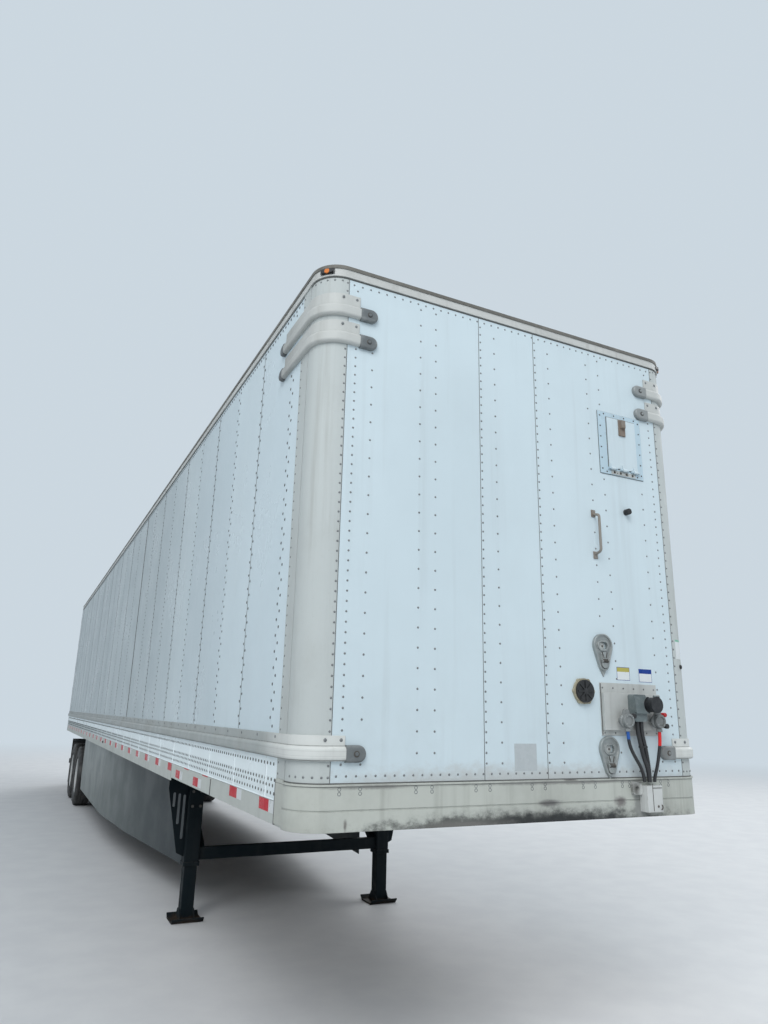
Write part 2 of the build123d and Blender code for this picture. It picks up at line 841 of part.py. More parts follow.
with BuildPart() as slider_frame:
    block(
        (slider_x - frame_half_width, slider_frame_start, frame_rail_bottom),
        (slider_x + frame_half_width, slider_frame_end, slider_top),
    )
    mirror(about=Plane.YZ)
    for y in frame_cross_ys:
        block(
            (-slider_x, y - frame_cross_depth / 2, frame_rail_bottom),
            (slider_x, y + frame_cross_depth / 2, slider_top - 20),
        )
    with Locations(Location((0, flap_y, flap_bar_z), (0, 90, 0))):
        Cylinder(flap_bar_radius, 2 * flap_outer_x)
save(slider_frame, "slider_frame")

# Mud flaps on the bar behind the second axle
flap_thickness = 10.0
flap_bottom = 230.0
flap_top = flap_bar_z + 30.0

with BuildPart() as mud_flaps:
    block(
        (flap_inner_x, flap_y + flap_bar_radius + fit, flap_bottom),
        (flap_outer_x, flap_y + flap_bar_radius + fit + flap_thickness, flap_top),
    )
    mirror(about=Plane.YZ)
save(mud_flaps, "mud_flaps")

# Wheels: dual tyres on disc wheels, a hub and a brake drum
tyre_radius = 508.0
tyre_width = 280.0
track = 1968.0
dual_spacing = 343.0
axle_z = tyre_radius
dual_x = track / 2
bead_radius = 286.0

# Axles, springs and their hangers
axle_radius = 63.5
spindle_radius = 45.0
hub_bore = 36.3
spindle_shoulder = dual_x - 114.0
spindle_end = dual_x + 96.0
shield_radius = 195.0
shield_x = dual_x - 234.0
shield_thickness = 5.0
drum_radius = 219.0
drum_inner = 205.0
spring_width = 76.0
leaf_thickness = 17.0
leaf_gap = 0.3
leaf_halves = (hanger_reach - 22.0, 430.0, 280.0)
leaf_camber = 60.0
seat_height = 24.0
seat_half_depth = 75.0
spring_seat_z = axle_z + axle_radius + seat_height
leaf_stack = len(leaf_halves) * (leaf_thickness + leaf_gap)
chamber_x = 330.0
chamber_radius = 83.0
chamber_length = 150.0
chamber_neck = 70.0
clamp_ring = 6.0
clamp_ring_width = 16.0
chamber_y = 150.0
chamber_z = axle_z + 95.0
camshaft_radius = 19.0
camshaft_y = 110.0
camshaft_z = axle_z + 60.0
hanger_plate = 10.0
hanger_inner = spring_width / 2 + 4.0
hanger_bottom = 590.0
hanger_pin_rise = 30.0
hanger_pin_radius = 18.0
pad_half = 60.0
pad_shoulder = 22.0
pad_crown = 26.0
pad_bottom = spring_seat_z + leaf_stack - leaf_gap + leaf_camber + fit
radius_rod = 16.0
rod_pin_z = hanger_bottom + hanger_pin_rise
hanger_top_half = 95.0
hanger_low_half = 50.0

with BuildPart() as axles:
    for y in (first_axle_y, second_axle_y):
        plane = Plane(origin=(0, y, axle_z), x_dir=(1, 0, 0), z_dir=(0, -1, 0))
        with BuildSketch(plane):
            with BuildLine():
                Polyline(
                    (-spindle_end, 0),
                    (-spindle_end, hub_bore - fit),
                    (-spindle_shoulder, hub_bore - fit),
                    (-spindle_shoulder, spindle_radius),
                    (-shield_x, axle_radius),
                    (shield_x, axle_radius),
                    (spindle_shoulder, spindle_radius),
                    (spindle_shoulder, hub_bore - fit),
                    (spindle_end, hub_bore - fit),
                    (spindle_end, 0),
                    close=True,
                )
            make_face()
        revolve(axis=Axis((0, y, axle_z), (1, 0, 0)))
        for sign in (-1, 1):
            with Locations(
                Location((sign * (shield_x - shield_thickness / 2), y, axle_z), (0, 90, 0))
            ):
                Cylinder(shield_radius, shield_thickness)
            block(
                (sign * slider_x - spring_width / 2 - 12, y - seat_half_depth, axle_z),
                (sign * slider_x + spring_width / 2 + 12, y + seat_half_depth, spring_seat_z),
            )
            block(
                (sign * chamber_x - 45, y, axle_z + 20),
                (sign * chamber_x + 45, y + chamber_y, chamber_z + 30),
            )
            camshaft_run = shield_x - shield_thickness - chamber_x
            camshaft_x = sign * (chamber_x + camshaft_run / 2)
            with Locations(Location((camshaft_x, y + camshaft_y, camshaft_z), (0, 90, 0))):
                Cylinder(camshaft_radius, camshaft_run)
            rod_start = Vector(sign * slider_x, y - hanger_reach + hanger_pin_radius + 1, rod_pin_z)
            rod_end = Vector(sign * slider_x, y, axle_z + axle_radius / 2)
            rod_run = rod_end - rod_start
            with Locations(Plane(origin=(rod_start + rod_end) * 0.5, z_dir=rod_run)):
                Cylinder(radius_rod, rod_run.length)
save(axles, "axles")

with BuildPart() as leaf_springs:
    for y in (first_axle_y, second_axle_y):
        for number, half in enumerate(leaf_halves):
            rise = leaf_camber * (half / leaf_halves[0]) ** 2
            low = spring_seat_z + (len(leaf_halves) - 1 - number) * (leaf_thickness + leaf_gap)
            with BuildSketch(Plane.YZ.offset(slider_x - spring_width / 2)):
                with BuildLine():
                    lower = ThreePointArc((y - half, low + rise), (y, low), (y + half, low + rise))
                    upper = ThreePointArc(
                        (y + half, low + rise + leaf_thickness),
                        (y, low + leaf_thickness),
                        (y - half, low + rise + leaf_thickness),
                    )
                    Line(lower @ 1, upper @ 0)
                    Line(upper @ 1, lower @ 0)
                make_face()
            extrude(amount=spring_width)
    mirror(about=Plane.YZ)
save(leaf_springs, "leaf_springs")

with BuildPart() as spring_hangers:
    for y in frame_cross_ys:
        for plate_x in (slider_x - hanger_inner - hanger_plate, slider_x + hanger_inner):
            with BuildSketch(Plane.YZ.offset(plate_x)):
                with BuildLine():
                    Polyline(
                        (y - hanger_top_half, frame_rail_bottom),
                        (y + hanger_top_half, frame_rail_bottom),
                        (y + hanger_low_half, hanger_bottom),
                        (y - hanger_low_half, hanger_bottom),
                        close=True,
                    )
                make_face()
            extrude(amount=hanger_plate)
        with BuildSketch(Plane.YZ.offset(slider_x - hanger_inner)):
            with BuildLine():
                Polyline(
                    (y - pad_half, pad_bottom),
                    (y + pad_half, pad_bottom),
                    (y + pad_half, pad_bottom + pad_shoulder),
                    (y + pad_crown, pad_bottom + leaf_camber),
                    (y - pad_crown, pad_bottom + leaf_camber),
                    (y - pad_half, pad_bottom + pad_shoulder),
                    close=True,
                )
            make_face()
        extrude(amount=2 * hanger_inner)
        with Locations(Location((slider_x, y, rod_pin_z), (0, 90, 0))):
            Cylinder(hanger_pin_radius, 2 * (hanger_inner + hanger_plate) + 20)
    mirror(about=Plane.YZ)
save(spring_hangers, "spring_hangers")

# Brake chambers on the axle brackets
with BuildPart() as brake_chambers:
    for y in (first_axle_y, second_axle_y):
        for radius, start, run in (
            (chamber_radius, chamber_y, chamber_length),
            (chamber_radius - 12, chamber_y + chamber_length, chamber_neck),
            (chamber_radius + clamp_ring, chamber_y + chamber_length / 2, clamp_ring_width),
        ):
            with Locations(Location((chamber_x, y + start + run / 2, chamber_z), (90, 0, 0))):
                Cylinder(radius, run)
    mirror(about=Plane.YZ)
save(brake_chambers, "brake_chambers")

# Tyre section as (distance out from the tyre's middle, radius over the flats)
tyre_sides = 44
tyre_half_section = (
    (tyre_width / 2 - 62, tyre_radius),
    (tyre_width / 2 - 30, tyre_radius - 12),
    (tyre_width / 2 - 10, tyre_radius - 60),
    (tyre_width / 2, tyre_radius - 113),
    (tyre_width / 2 - 33, bead_radius + 16),
)
tyre_section = [(-x, radius) for x, radius in reversed(tyre_half_section)]
tyre_section += [(x, radius) for x, radius in tyre_half_section]
# Rim section as (distance out from the tyre's middle, radius)
rim_section = (
    (-120, bead_radius + 14),
    (-113, bead_radius + 14),
    (-108, bead_radius - 0.4),
    (-68, bead_radius - 3),
    (-50, 262),
    (50, 262),
    (68, bead_radius - 3),
    (108, bead_radius - 0.4),
    (113, bead_radius + 14),
    (120, bead_radius + 14),
    (120, bead_radius + 4),
    (113, 277),
    (70, 274),
    (53, 253),
    (-53, 253),
    (-70, 274),
    (-113, 277),
    (-120, bead_radius + 4),
)
# Disc, hub and drum sections as (distance out from the middle of the duals, radius)
disc_section = ((0, 105), (0, 190), (112, 254), (124, 254), (12, 184), (12, 105))
hub_section = (
    (-110, hub_bore),
    (-110, 90),
    (-42, 100),
    (-42, 142),
    (-92, 200),
    (-95, drum_inner),
    (-226, drum_inner),
    (-226, drum_radius),
    (-90, drum_radius),
    (-78, 212),
    (-30, 150),
    (-12.3, 150),
    (-12.3, 104),
    (12.3, 104),
    (40, 86),
    (108, 84),
    (108, 66),
    (140, 58),
    (148, 40),
    (148, 0),
    (100, 0),
    (100, hub_bore),
)
hand_hole_count = 5
hand_hole_radius = 27.0
hand_hole_circle = 218.0
wheel_rows = (("front", first_axle_y), ("rear", second_axle_y))


def turned(section, middle, out, y):
    """Revolve a closed section about an axle, counted outwards from a middle plane."""
    plane = Plane(origin=(0, y, axle_z), x_dir=(1, 0, 0), z_dir=(0, -1, 0))
    with BuildSketch(plane) as profile:
        with BuildLine():
            Polyline(*[(middle + out * x, radius) for x, radius in section], close=True)
        make_face()
    revolve(profile.sketch, axis=Axis((0, y, axle_z), (1, 0, 0)))


half_flat = 180 / tyre_sides

for row_name, y in wheel_rows:
    for side_name, sign in (("kerb", -1), ("road", 1)):
        with BuildPart() as tyres:
            for offset_x in (-dual_spacing / 2, dual_spacing / 2):
                for out, radius in tyre_section:
                    flats = Plane(
                        origin=(sign * dual_x + offset_x + out, y, axle_z), z_dir=(1, 0, 0)
                    )
                    with BuildSketch(flats):
                        RegularPolygon(radius, tyre_sides, major_radius=False, rotation=half_flat)
                loft(ruled=True)
                with BuildSketch(flats):
                    RegularPolygon(bead_radius, tyre_sides, major_radius=False, rotation=half_flat)
                extrude(amount=-tyre_width, mode=Mode.SUBTRACT)
        save(tyres, f"tyres_{row_name}_{side_name}")

        with BuildPart() as rims:
            for way in (-1, 1):
                middle = sign * (dual_x + way * dual_spacing / 2)
                turned(rim_section, middle, sign, y)
                turned(disc_section, sign * dual_x, sign * way, y)
            with Locations(Location((sign * dual_x, y, axle_z), (0, 90, 0))):
                with PolarLocations(hand_hole_circle, hand_hole_count):
                    Cylinder(hand_hole_radius, 2 * 140, mode=Mode.SUBTRACT)
            turned(hub_section, sign * dual_x, sign, y)
        save(rims, f"rims_{row_name}_{side_name}")

# Rear impact guard
guard_y = rear - 180.0
guard_section = 100.0
guard_bottom = 460.0
guard_half = 1150.0
guard_post_x = 430.0
guard_post_width = 90.0
guard_stay_run = 480.0

with BuildPart() as impact_guard:
    block(
        (-guard_half, guard_y - guard_section / 2, guard_bottom),
        (guard_half, guard_y + guard_section / 2, guard_bottom + guard_section),
    )
    for sign in (-1, 1):
        x_low = sign * guard_post_x - guard_post_width / 2
        with BuildSketch(Plane.YZ.offset(x_low)):
            with BuildLine():
                Polyline(
                    (guard_y - guard_section / 2, guard_bottom + guard_section),
                    (guard_y + guard_section / 2, guard_bottom + guard_section),
                    (guard_y + guard_section / 2, crossmember_bottom),
                    (guard_y - guard_stay_run, crossmember_bottom),
                    (guard_y - guard_stay_run, crossmember_bottom - 60),
                    (guard_y - guard_section / 2 - 40, guard_bottom + guard_section + 260),
                    close=True,
                )
            make_face()
        extrude(amount=guard_post_width)
save(impact_guard, "impact_guard")

# Service panel low on the nose, road side: a raised pan with flanges above and below
panel_low = (517.0, 1633.0)
panel_high = (951.0, 1923.0)
panel_flange = 4.0
panel_stand = 24.0
panel_flange_top = 56.0
panel_flange_low = 30.0

with BuildPart() as service_panel:
    block((panel_low[0], front - panel_flange, panel_low[1]), (panel_high[0], front, panel_high[1]))
    block(
        (panel_low[0] + 8, front - panel_stand, panel_low[1] + panel_flange_low),
        (panel_high[0], front, panel_high[1] - panel_flange_top),
    )
save(service_panel, "service_panel")
panel_face = front - panel_stand

# Electrical socket: a cast housing with rounded corners and a hinged round cover
socket_x = 752.0
socket_half = 48.0
socket_low = 1712.0
socket_high = 1862.0
socket_depth = 45.0
socket_nose_depth = 62.0
socket_round = 12.0
socket_line_y = panel_face - 26.0
cover_x = 812.0
cover_z = 1806.0
cover_radius = 41.0
cover_length = 46.0
lid_radius = 45.0
lid_thickness = 8.0
lid_hinge_radius = 7.0
lid_hinge_width = 40.0

with BuildPart() as electrical_socket:
    with BuildSketch(Plane.XZ.offset(-panel_face)):
        with Locations((socket_x, (socket_low + socket_high) / 2)):
            RectangleRounded(2 * socket_half, socket_high - socket_low, socket_round)
    extrude(amount=socket_depth)
    nose_low = socket_low + socket_depth
    nose_high = socket_high - socket_round
    with BuildSketch(Plane.XZ.offset(-panel_face)):
        with Locations(((socket_x - socket_half + cover_x) / 2, (nose_low + nose_high) / 2)):
            RectangleRounded(cover_x - socket_x + socket_half, nose_high - nose_low, socket_round)
    extrude(amount=socket_nose_depth)
    lid_y = panel_face - socket_nose_depth - cover_length
    for radius, start, run in (
        (cover_radius, panel_face - socket_nose_depth + 10, cover_length + 10),
        (lid_radius, lid_y, lid_thickness),
    ):
        with Locations(Location((cover_x, start - run / 2, cover_z), (90, 0, 0))):
            Cylinder(radius, run)
    with Locations(Location((cover_x, lid_y - lid_thickness / 2, cover_z + lid_radius), (0, 90, 0))):
        Cylinder(lid_hinge_radius, lid_hinge_width)
save(electrical_socket, "electrical_socket")

# Glad hands, service on the kerb side of the socket and emergency on the road side
glad_hand_xs = (642.0, 882.0)
glad_hand_z = 1716.0
glad_hand_depth = 38.0
glad_hand_neck_radius = 20.0
glad_hand_neck = 30.0
# Body section as (radius, distance in front of the neck): flange, waist, face and seal recess
glad_hand_section = (
    (0, -1),
    (40, -1),
    (40, 9),
    (33, 14),
    (33, 21),
    (38, 25),
    (38, glad_hand_depth),
    (26, glad_hand_depth),
    (26, glad_hand_depth - 6),
    (0, glad_hand_depth - 6),
)
lug_radius = 17.0
lug_rise = 46.0
lug_thickness = 22.0
hose_radius = 9.5
hose_port_radius = 13.0
hose_port_drop = 58.0
hose_nut_radius = 17.0
hose_nut_height = 16.0

with BuildPart() as glad_hands:
    for x in glad_hand_xs:
        body_y = panel_face - glad_hand_neck
        middle_y = body_y - glad_hand_depth / 2
        with Locations(Location((x, panel_face - glad_hand_neck / 2, glad_hand_z), (90, 0, 0))):
            Cylinder(glad_hand_neck_radius, glad_hand_neck)
        with BuildSketch(Plane.XY.offset(glad_hand_z)):
            with BuildLine():
                Polyline(
                    *[(x + radius, body_y - ahead) for radius, ahead in glad_hand_section],
                    close=True,
                )
            make_face()
        revolve(axis=Axis((x, 0, glad_hand_z), (0, 1, 0)))
        with BuildSketch(Plane.XZ.offset(-body_y)):
            with Locations((x + 2, glad_hand_z + lug_rise)):
                Circle(lug_radius)
            with Locations((x, glad_hand_z + 10)):
                Circle(lug_radius + 10)
            make_hull()
        extrude(amount=lug_thickness)
        with Locations((x, middle_y, glad_hand_z - hose_port_drop / 2)):
            Cylinder(hose_port_radius, hose_port_drop)
        nut_z = glad_hand_z - hose_port_drop
        with BuildSketch(Plane.XY.offset(nut_z)):
            with Locations((x, middle_y)):
                RegularPolygon(hose_nut_radius, 6)
        extrude(amount=hose_nut_height)
save(glad_hands, "glad_hands")
hose_y = panel_face - glad_hand_neck - glad_hand_depth / 2
hose_top = glad_hand_z - hose_port_drop

# Bracket on the front bottom rail that takes the lines down through the nose
bracket_low = (764.0, 1229.0)
bracket_high = (878.0, 1368.0)
bracket_stand = 58.0
bracket_wall = 4.0
bracket_face = front - front_rail_stand
clamp_width = 68.0
clamp_height = 68.0
clamp_stand = 20.0
clamp_round = 16.0
clamp_bore = 13.0
clamp_z = 1352.0

with BuildPart() as line_bracket:
    block(
        (bracket_low[0], bracket_face - bracket_stand, bracket_low[1]),
        (bracket_high[0], bracket_face, bracket_high[1]),
    )
    block(
        (
            bracket_low[0] + bracket_wall,
            bracket_face - bracket_stand + bracket_wall,
            bracket_low[1] - 1,
        ),
        (bracket_high[0] - bracket_wall, bracket_face + 1, bracket_high[1] - bracket_wall),
        Mode.SUBTRACT,
    )
    with BuildSketch(Plane.XZ.offset(-bracket_face)):
        with Locations((bracket_low[0] + bracket_wall - clamp_width / 2, clamp_z)):
            RectangleRounded(clamp_width, clamp_height, clamp_round)
        with Locations((bracket_low[0] - clamp_width / 2, clamp_z)):
            Circle(clamp_bore, mode=Mode.SUBTRACT)
    extrude(amount=clamp_stand)
save(line_bracket, "line_bracket")

# Lines from the fittings down to the bracket: radius and route, top to bottom
line_end_y = bracket_face - bracket_stand / 2
line_top = socket_low
lines = {
    "service_line": (
        hose_radius,
        (
            (glad_hand_xs[0], hose_y, hose_top),
            (glad_hand_xs[0], hose_y, 1606),
            (664, hose_y + 3, 1555),
            (704, hose_y + 10, 1505),
            (742, hose_y + 20, 1464),
            (768, line_end_y - 6, 1425),
            (776, line_end_y - 2, 1396),
            (776, line_end_y - 2, bracket_high[1]),
        ),
    ),
    "harness_cable": (
        12.0,
        (
            (738, socket_line_y, line_top),
            (738, socket_line_y, 1655),
            (750, socket_line_y - 4, 1590),
            (768, socket_line_y, 1520),
            (792, line_end_y - 18, 1460),
            (803, line_end_y - 14, 1414),
            (803, line_end_y - 14, bracket_high[1]),
        ),
    ),
    "harness_conduit": (
        12.0,
        (
            (768, socket_line_y, line_top),
            (768, socket_line_y, 1650),
            (778, socket_line_y - 5, 1590),
            (796, socket_line_y, 1520),
            (820, line_end_y + 2, 1455),
            (827, line_end_y + 9, 1405),
            (827, line_end_y + 9, bracket_high[1]),
        ),
    ),
    "emergency_line": (
        hose_radius,
        (
            (glad_hand_xs[1], hose_y, hose_top),
            (glad_hand_xs[1], hose_y, 1605),
            (870, hose_y + 4, 1540),
            (858, hose_y + 10, 1475),
            (846, line_end_y - 14, 1415),
            (844, line_end_y - 12, 1392),
            (844, line_end_y - 12, bracket_high[1]),
        ),
    ),
}


def bend_radii(route):
    """Largest tangent arc at each corner of a route, 0.45 of the shorter run."""
    points = [Vector(*point) for point in route]
    radii = []
    for before, corner, after in zip(points[:-2], points[1:-1], points[2:]):
        run_in = corner - before
        run_out = after - corner
        turn = radians(run_in.get_angle(run_out))
        radii.append(0.45 * min(run_in.length, run_out.length) / tan(turn / 2))
    return radii


for name, (radius, route) in lines.items():
    radii = bend_radii(route)
    with BuildPart() as line:
        with BuildLine() as path:
            FilletPolyline(*route, radius=radii)
        start = Vector(*route[1]) - Vector(*route[0])
        with BuildSketch(Plane(origin=route[0], z_dir=start)):
            Circle(radius)
        sweep(path=path.wires()[0])
    save(line, name)
    run = path.wires()[0].length
    share = line.part.volume / (pi * radius**2 * run)
    print(name, "length", round(run, 1), "volume share", round(share, 4))
    print(name, "radii", [round(value) for value in radii])

# Pear-shaped hooks cast with an eye, above and below the service panel
hook_places = ((550.0, 2131.0), (556.0, 1562.0))
hook_head_radius = 68.0
hook_eye = (64.0, 42.0)
hook_drop = 108.0
hook_foot_radius = 34.0
hook_base = 12.0
hook_rim = 9.0
hook_rim_stand = 20.0
hook_boss = 9.0
hook_tongue_radii = (13.0, 21.0)
hook_tongue_stand = 26.0
hook_spring_radius = 10.0
hook_spring_length = 46.0
hook_stand = 34.0


def pear(x, z, shrink, level):
    """Outline of a hook drawn in by an amount, a hull round its head and its foot."""
    with BuildSketch(Plane.XZ.offset(level - front)) as outline:
        with Locations((x, z)):
            Circle(hook_head_radius - shrink)
        with Locations((x, z - hook_drop)):
            Circle(hook_foot_radius - shrink)
        make_hull()
    return outline.sketch


with BuildPart() as pear_hooks:
    for x, z in hook_places:
        extrude(pear(x, z, 0, 0), amount=hook_rim_stand)
        extrude(pear(x, z, hook_rim, hook_base), amount=hook_rim_stand, mode=Mode.SUBTRACT)
        with BuildSketch(Plane.XZ.offset(-front)):
            with Locations((x, z)):
                SlotOverall(hook_eye[0] + 2 * hook_boss, hook_eye[1] + 2 * hook_boss)
        extrude(amount=hook_rim_stand)
        with BuildSketch(Plane.XZ.offset(-front)):
            with Locations((x, z - 0.45 * hook_drop)):
                Circle(hook_tongue_radii[0])
            with Locations((x, z - hook_drop)):
                Circle(hook_tongue_radii[1])
            make_hull()
        extrude(amount=hook_tongue_stand)
        with BuildSketch(Plane.XZ.offset(-front)):
            with Locations((x, z)):
                SlotOverall(hook_eye[0], hook_eye[1])
        extrude(amount=hook_stand, mode=Mode.SUBTRACT)
        spring_y = front - hook_stand + hook_spring_radius
        with Locations(Location((x, spring_y, z - 0.8 * hook_drop), (0, 90, 0))):
            Cylinder(hook_spring_radius, hook_spring_length)
save(pear_hooks, "pear_hooks")

# Round access port: a lobed ring and a cap with crossed ribs round a boss
port_x = 394.0
port_z = 1870.0
port_radius = 70.0
port_ring = 16.0
port_lobe_count = 6
port_lobe_radius = 16.0
port_lobe_circle = 60.0
port_cap_radius = 62.0
port_cap = 28.0
port_rib = 6.0
port_rib_width = 8.0
port_rib_length = 112.0
port_boss_radius = 17.0

with BuildPart() as round_port:
    with BuildSketch(Plane.XZ.offset(-front)):
        with Locations((port_x, port_z)):
            Circle(port_radius)
            with PolarLocations(port_lobe_circle, port_lobe_count):
                Circle(port_lobe_radius)
    extrude(amount=port_ring)
    with BuildSketch(Plane.XZ.offset(-front)):
        with Locations((port_x, port_z)):
            Circle(port_cap_radius)
    extrude(amount=port_cap)
    with BuildSketch(Plane.XZ.offset(port_cap - front)):
        with Locations((port_x, port_z)):
            Circle(port_boss_radius)
            for turn in (0, 45, 90, 135):
                Rectangle(port_rib_length, port_rib_width, rotation=turn)
    extrude(amount=port_rib)
save(round_port, "round_port")

# Grab handle: a bent bar with two feet
grab_x = 545.0
grab_low = 2650.0
grab_high = 2946.0
grab_stand = 52.0
grab_radius = 8.0
grab_foot = 22.0

with BuildPart() as grab_handle:
    with BuildLine() as grab_route:
        FilletPolyline(
            (grab_x, front - 3, grab_low + 25),
            (grab_x, front - grab_stand, grab_low + 35),
            (grab_x, front - grab_stand, grab_high - 35),
            (grab_x, front - 3, grab_high - 25),
            radius=22,
        )
    with BuildSketch(Plane(origin=(grab_x, front - 3, grab_low + 25), z_dir=(0, -1, 0.2))):
        Circle(grab_radius)
    sweep(path=grab_route.wires()[0])
    for z in (grab_low + 18, grab_high - 18):
        block((grab_x - 15, front - 5, z - grab_foot), (grab_x + 15, front, z + grab_foot))
save(grab_handle, "grab_handle")

# Vent: a frame riveted over the hole, and its door hinged along the bottom
vent_frame_size = (356.0, 420.0)
vent_frame_x = 805.0
vent_frame_z = vent_z - 5.0
vent_frame_thickness = 6.0
vent_door_size = (236.0, 338.0)
vent_door_thickness = 6.0
vent_pin_drop = 8.0
vent_pin_radius = 4.0
vent_pin_stand = 17.0
vent_knuckle_radius = 6.5
vent_hinge_offsets = (-95.0, 0.0, 95.0)
vent_door_low = vent_z - vent_door_size[1] / 2
vent_pin_z = vent_door_low - vent_pin_drop
vent_pin_y = front - vent_pin_stand

with BuildPart() as vent_frame:
    block(
        (
            vent_frame_x - vent_frame_size[0] / 2,
            front - vent_frame_thickness,
            vent_frame_z - vent_frame_size[1] / 2,
        ),
        (vent_frame_x + vent_frame_size[0] / 2, front, vent_frame_z + vent_frame_size[1] / 2),
    )
    block(
        (vent_x - vent_hole_width / 2, front - wall, vent_z - vent_hole_height / 2),
        (vent_x + vent_hole_width / 2, front + wall, vent_z + vent_hole_height / 2),
        Mode.SUBTRACT,
    )
    web_y = front - (vent_pin_stand + vent_frame_thickness) / 2
    for offset_x in vent_hinge_offsets:
        x = vent_x + offset_x
        with Locations(Location((x, vent_pin_y, vent_pin_z), (0, 90, 0))):
            Cylinder(vent_pin_radius, 60)
        for knuckle_x in (x - 34, x + 18):
            with BuildSketch(Plane.YZ.offset(knuckle_x)):
                with Locations((vent_pin_y, vent_pin_z)):
                    Circle(vent_knuckle_radius)
                with Locations((web_y, vent_pin_z - vent_knuckle_radius / 4)):
                    Rectangle(vent_pin_stand - vent_frame_thickness, 1.5 * vent_knuckle_radius)
            extrude(amount=16)
save(vent_frame, "vent_frame")

with BuildPart() as vent_door:
    door_back = front - vent_frame_thickness - 1.0
    block(
        (vent_x - vent_door_size[0] / 2, door_back - vent_door_thickness, vent_door_low),
        (vent_x + vent_door_size[0] / 2, door_back, vent_door_low + vent_door_size[1]),
    )
    for offset_x in vent_hinge_offsets:
        x = vent_x + offset_x
        with BuildSketch(Plane.YZ.offset(x - 16)):
            with Locations((vent_pin_y, vent_pin_z)):
                Circle(vent_pin_radius + 5)
            with Locations((vent_pin_y + 1, vent_pin_z + 14)):
                Rectangle(12, 28)
            with Locations((vent_pin_y, vent_pin_z)):
                Circle(vent_pin_radius + 0.3, mode=Mode.SUBTRACT)
        extrude(amount=32)
save(vent_door, "vent_door")

# Vent latch: a tall plate with a knob on the top edge of the door
latch_low = vent_z + 57.0
latch_high = vent_z + 167.0
latch_stand = 26.0

with BuildPart() as vent_latch:
    latch_back = front - vent_frame_thickness - 1.0 - vent_door_thickness
    block((vent_x - 26, latch_back - 8, latch_low), (vent_x + 26, latch_back, latch_high))
    block(
        (vent_x - 14, latch_back - latch_stand, latch_low + 50),
        (vent_x + 14, latch_back, latch_high - 8),
    )
save(vent_latch, "vent_latch")

# Rubber bumper that the open vent door comes to rest on
bumper_z = 2973.0
bumper_radius = 19.0
bumper_stand = 34.0

with BuildPart() as rubber_bumper:
    with Locations(Location((vent_x, front - bumper_stand / 2, bumper_z), (90, 0, 0))):
        Cylinder(bumper_radius, bumper_stand)
save(rubber_bumper, "rubber_bumper")

# Amber marker lamps: front corners and the middle of each side
marker_width = 84.0
marker_height = 30.0
marker_stand = 14.0
marker_base = 5.0
marker_lens_width = 66.0
marker_lens_height = 24.0
marker_lens_round = 8.0
marker_z = top_rail_bottom + 28.0
marker_reach = (corner_radius + top_rail_stand + fit) / 2**0.5
marker_x = corner_centre[0] + marker_reach
marker_y = corner_centre[1] - marker_reach
side_marker_z = crossmember_bottom + 45.0


def marker(place, turn):
    """Add a lamp whose back lies at a place: a flat base and a lens with rounded ends."""
    for width, tall, rounding, stand in (
        (marker_width, marker_height, marker_lens_round / 2, marker_base),
        (marker_lens_width, marker_lens_height, marker_lens_round, marker_stand),
    ):
        with BuildSketch(Plane(origin=place, x_dir=(-turn[1], turn[0], 0), z_dir=(*turn, 0))) as face:
            RectangleRounded(width, tall, rounding)
        extrude(face.sketch, amount=stand)


with BuildPart() as marker_lamps:
    marker((marker_x, marker_y, marker_z), (1, -1))
    marker((side, 0, side_marker_z), (1, 0))
    mirror(about=Plane.YZ)
save(marker_lamps, "marker_lamps")

# Red lamps of the rear frame: tail lamps in the sill, clearance lamps in the header
tail_lamp_xs = (985.0, 1115.0)
tail_lamp_z = crossmember_bottom + 52.0
tail_lamp_radius = 55.0
tail_lamp_stand = 12.0
header_lamp_xs = (-150.0, 0.0, 150.0)
header_lamp_z = height - rear_header_height / 2

with BuildPart() as tail_lamps:
    for x in tail_lamp_xs:
        for sign in (-1, 1):
            with Locations(
                Location((sign * x, rear + tail_lamp_stand / 2, tail_lamp_z), (90, 0, 0))
            ):
                Cylinder(tail_lamp_radius, tail_lamp_stand)
    for x in (*header_lamp_xs, -(side - 60), side - 60):
        block(
            (x - marker_width / 2, rear, header_lamp_z - marker_height / 2),
            (x + marker_width / 2, rear + tail_lamp_stand, header_lamp_z + marker_height / 2),
        )
save(tail_lamps, "tail_lamps")
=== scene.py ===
"""Looks of a dry van semi trailer, laid out as a Blender add-on and run as a script."""

from math import cos, pi, radians, sin

import bpy
import numpy as np
from mathutils import Matrix, Vector


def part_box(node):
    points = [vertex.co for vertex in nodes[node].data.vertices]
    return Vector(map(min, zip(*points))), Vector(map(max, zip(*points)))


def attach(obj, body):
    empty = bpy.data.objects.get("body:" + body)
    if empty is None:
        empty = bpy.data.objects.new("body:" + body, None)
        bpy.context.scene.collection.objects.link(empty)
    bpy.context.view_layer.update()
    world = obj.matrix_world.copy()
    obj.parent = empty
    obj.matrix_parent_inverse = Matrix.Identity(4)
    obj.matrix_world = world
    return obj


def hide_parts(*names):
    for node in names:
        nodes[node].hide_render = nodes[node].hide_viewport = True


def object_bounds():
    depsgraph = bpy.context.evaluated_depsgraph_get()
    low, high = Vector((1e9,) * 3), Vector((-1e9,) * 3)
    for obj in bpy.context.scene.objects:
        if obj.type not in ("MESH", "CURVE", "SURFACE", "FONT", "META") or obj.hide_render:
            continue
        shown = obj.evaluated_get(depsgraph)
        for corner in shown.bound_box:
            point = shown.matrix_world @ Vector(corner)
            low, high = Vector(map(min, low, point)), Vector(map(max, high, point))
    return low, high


bl_info = {
    "name": "Dry van trailer looks",
    "version": (1, 0, 0),
    "blender": (4, 5, 0),
    "location": "View3D > Sidebar > Trailer",
    "description": "Dresses a dry van semi trailer with rivets, tape, lines, treads and finishes",
    "category": "Object",
}

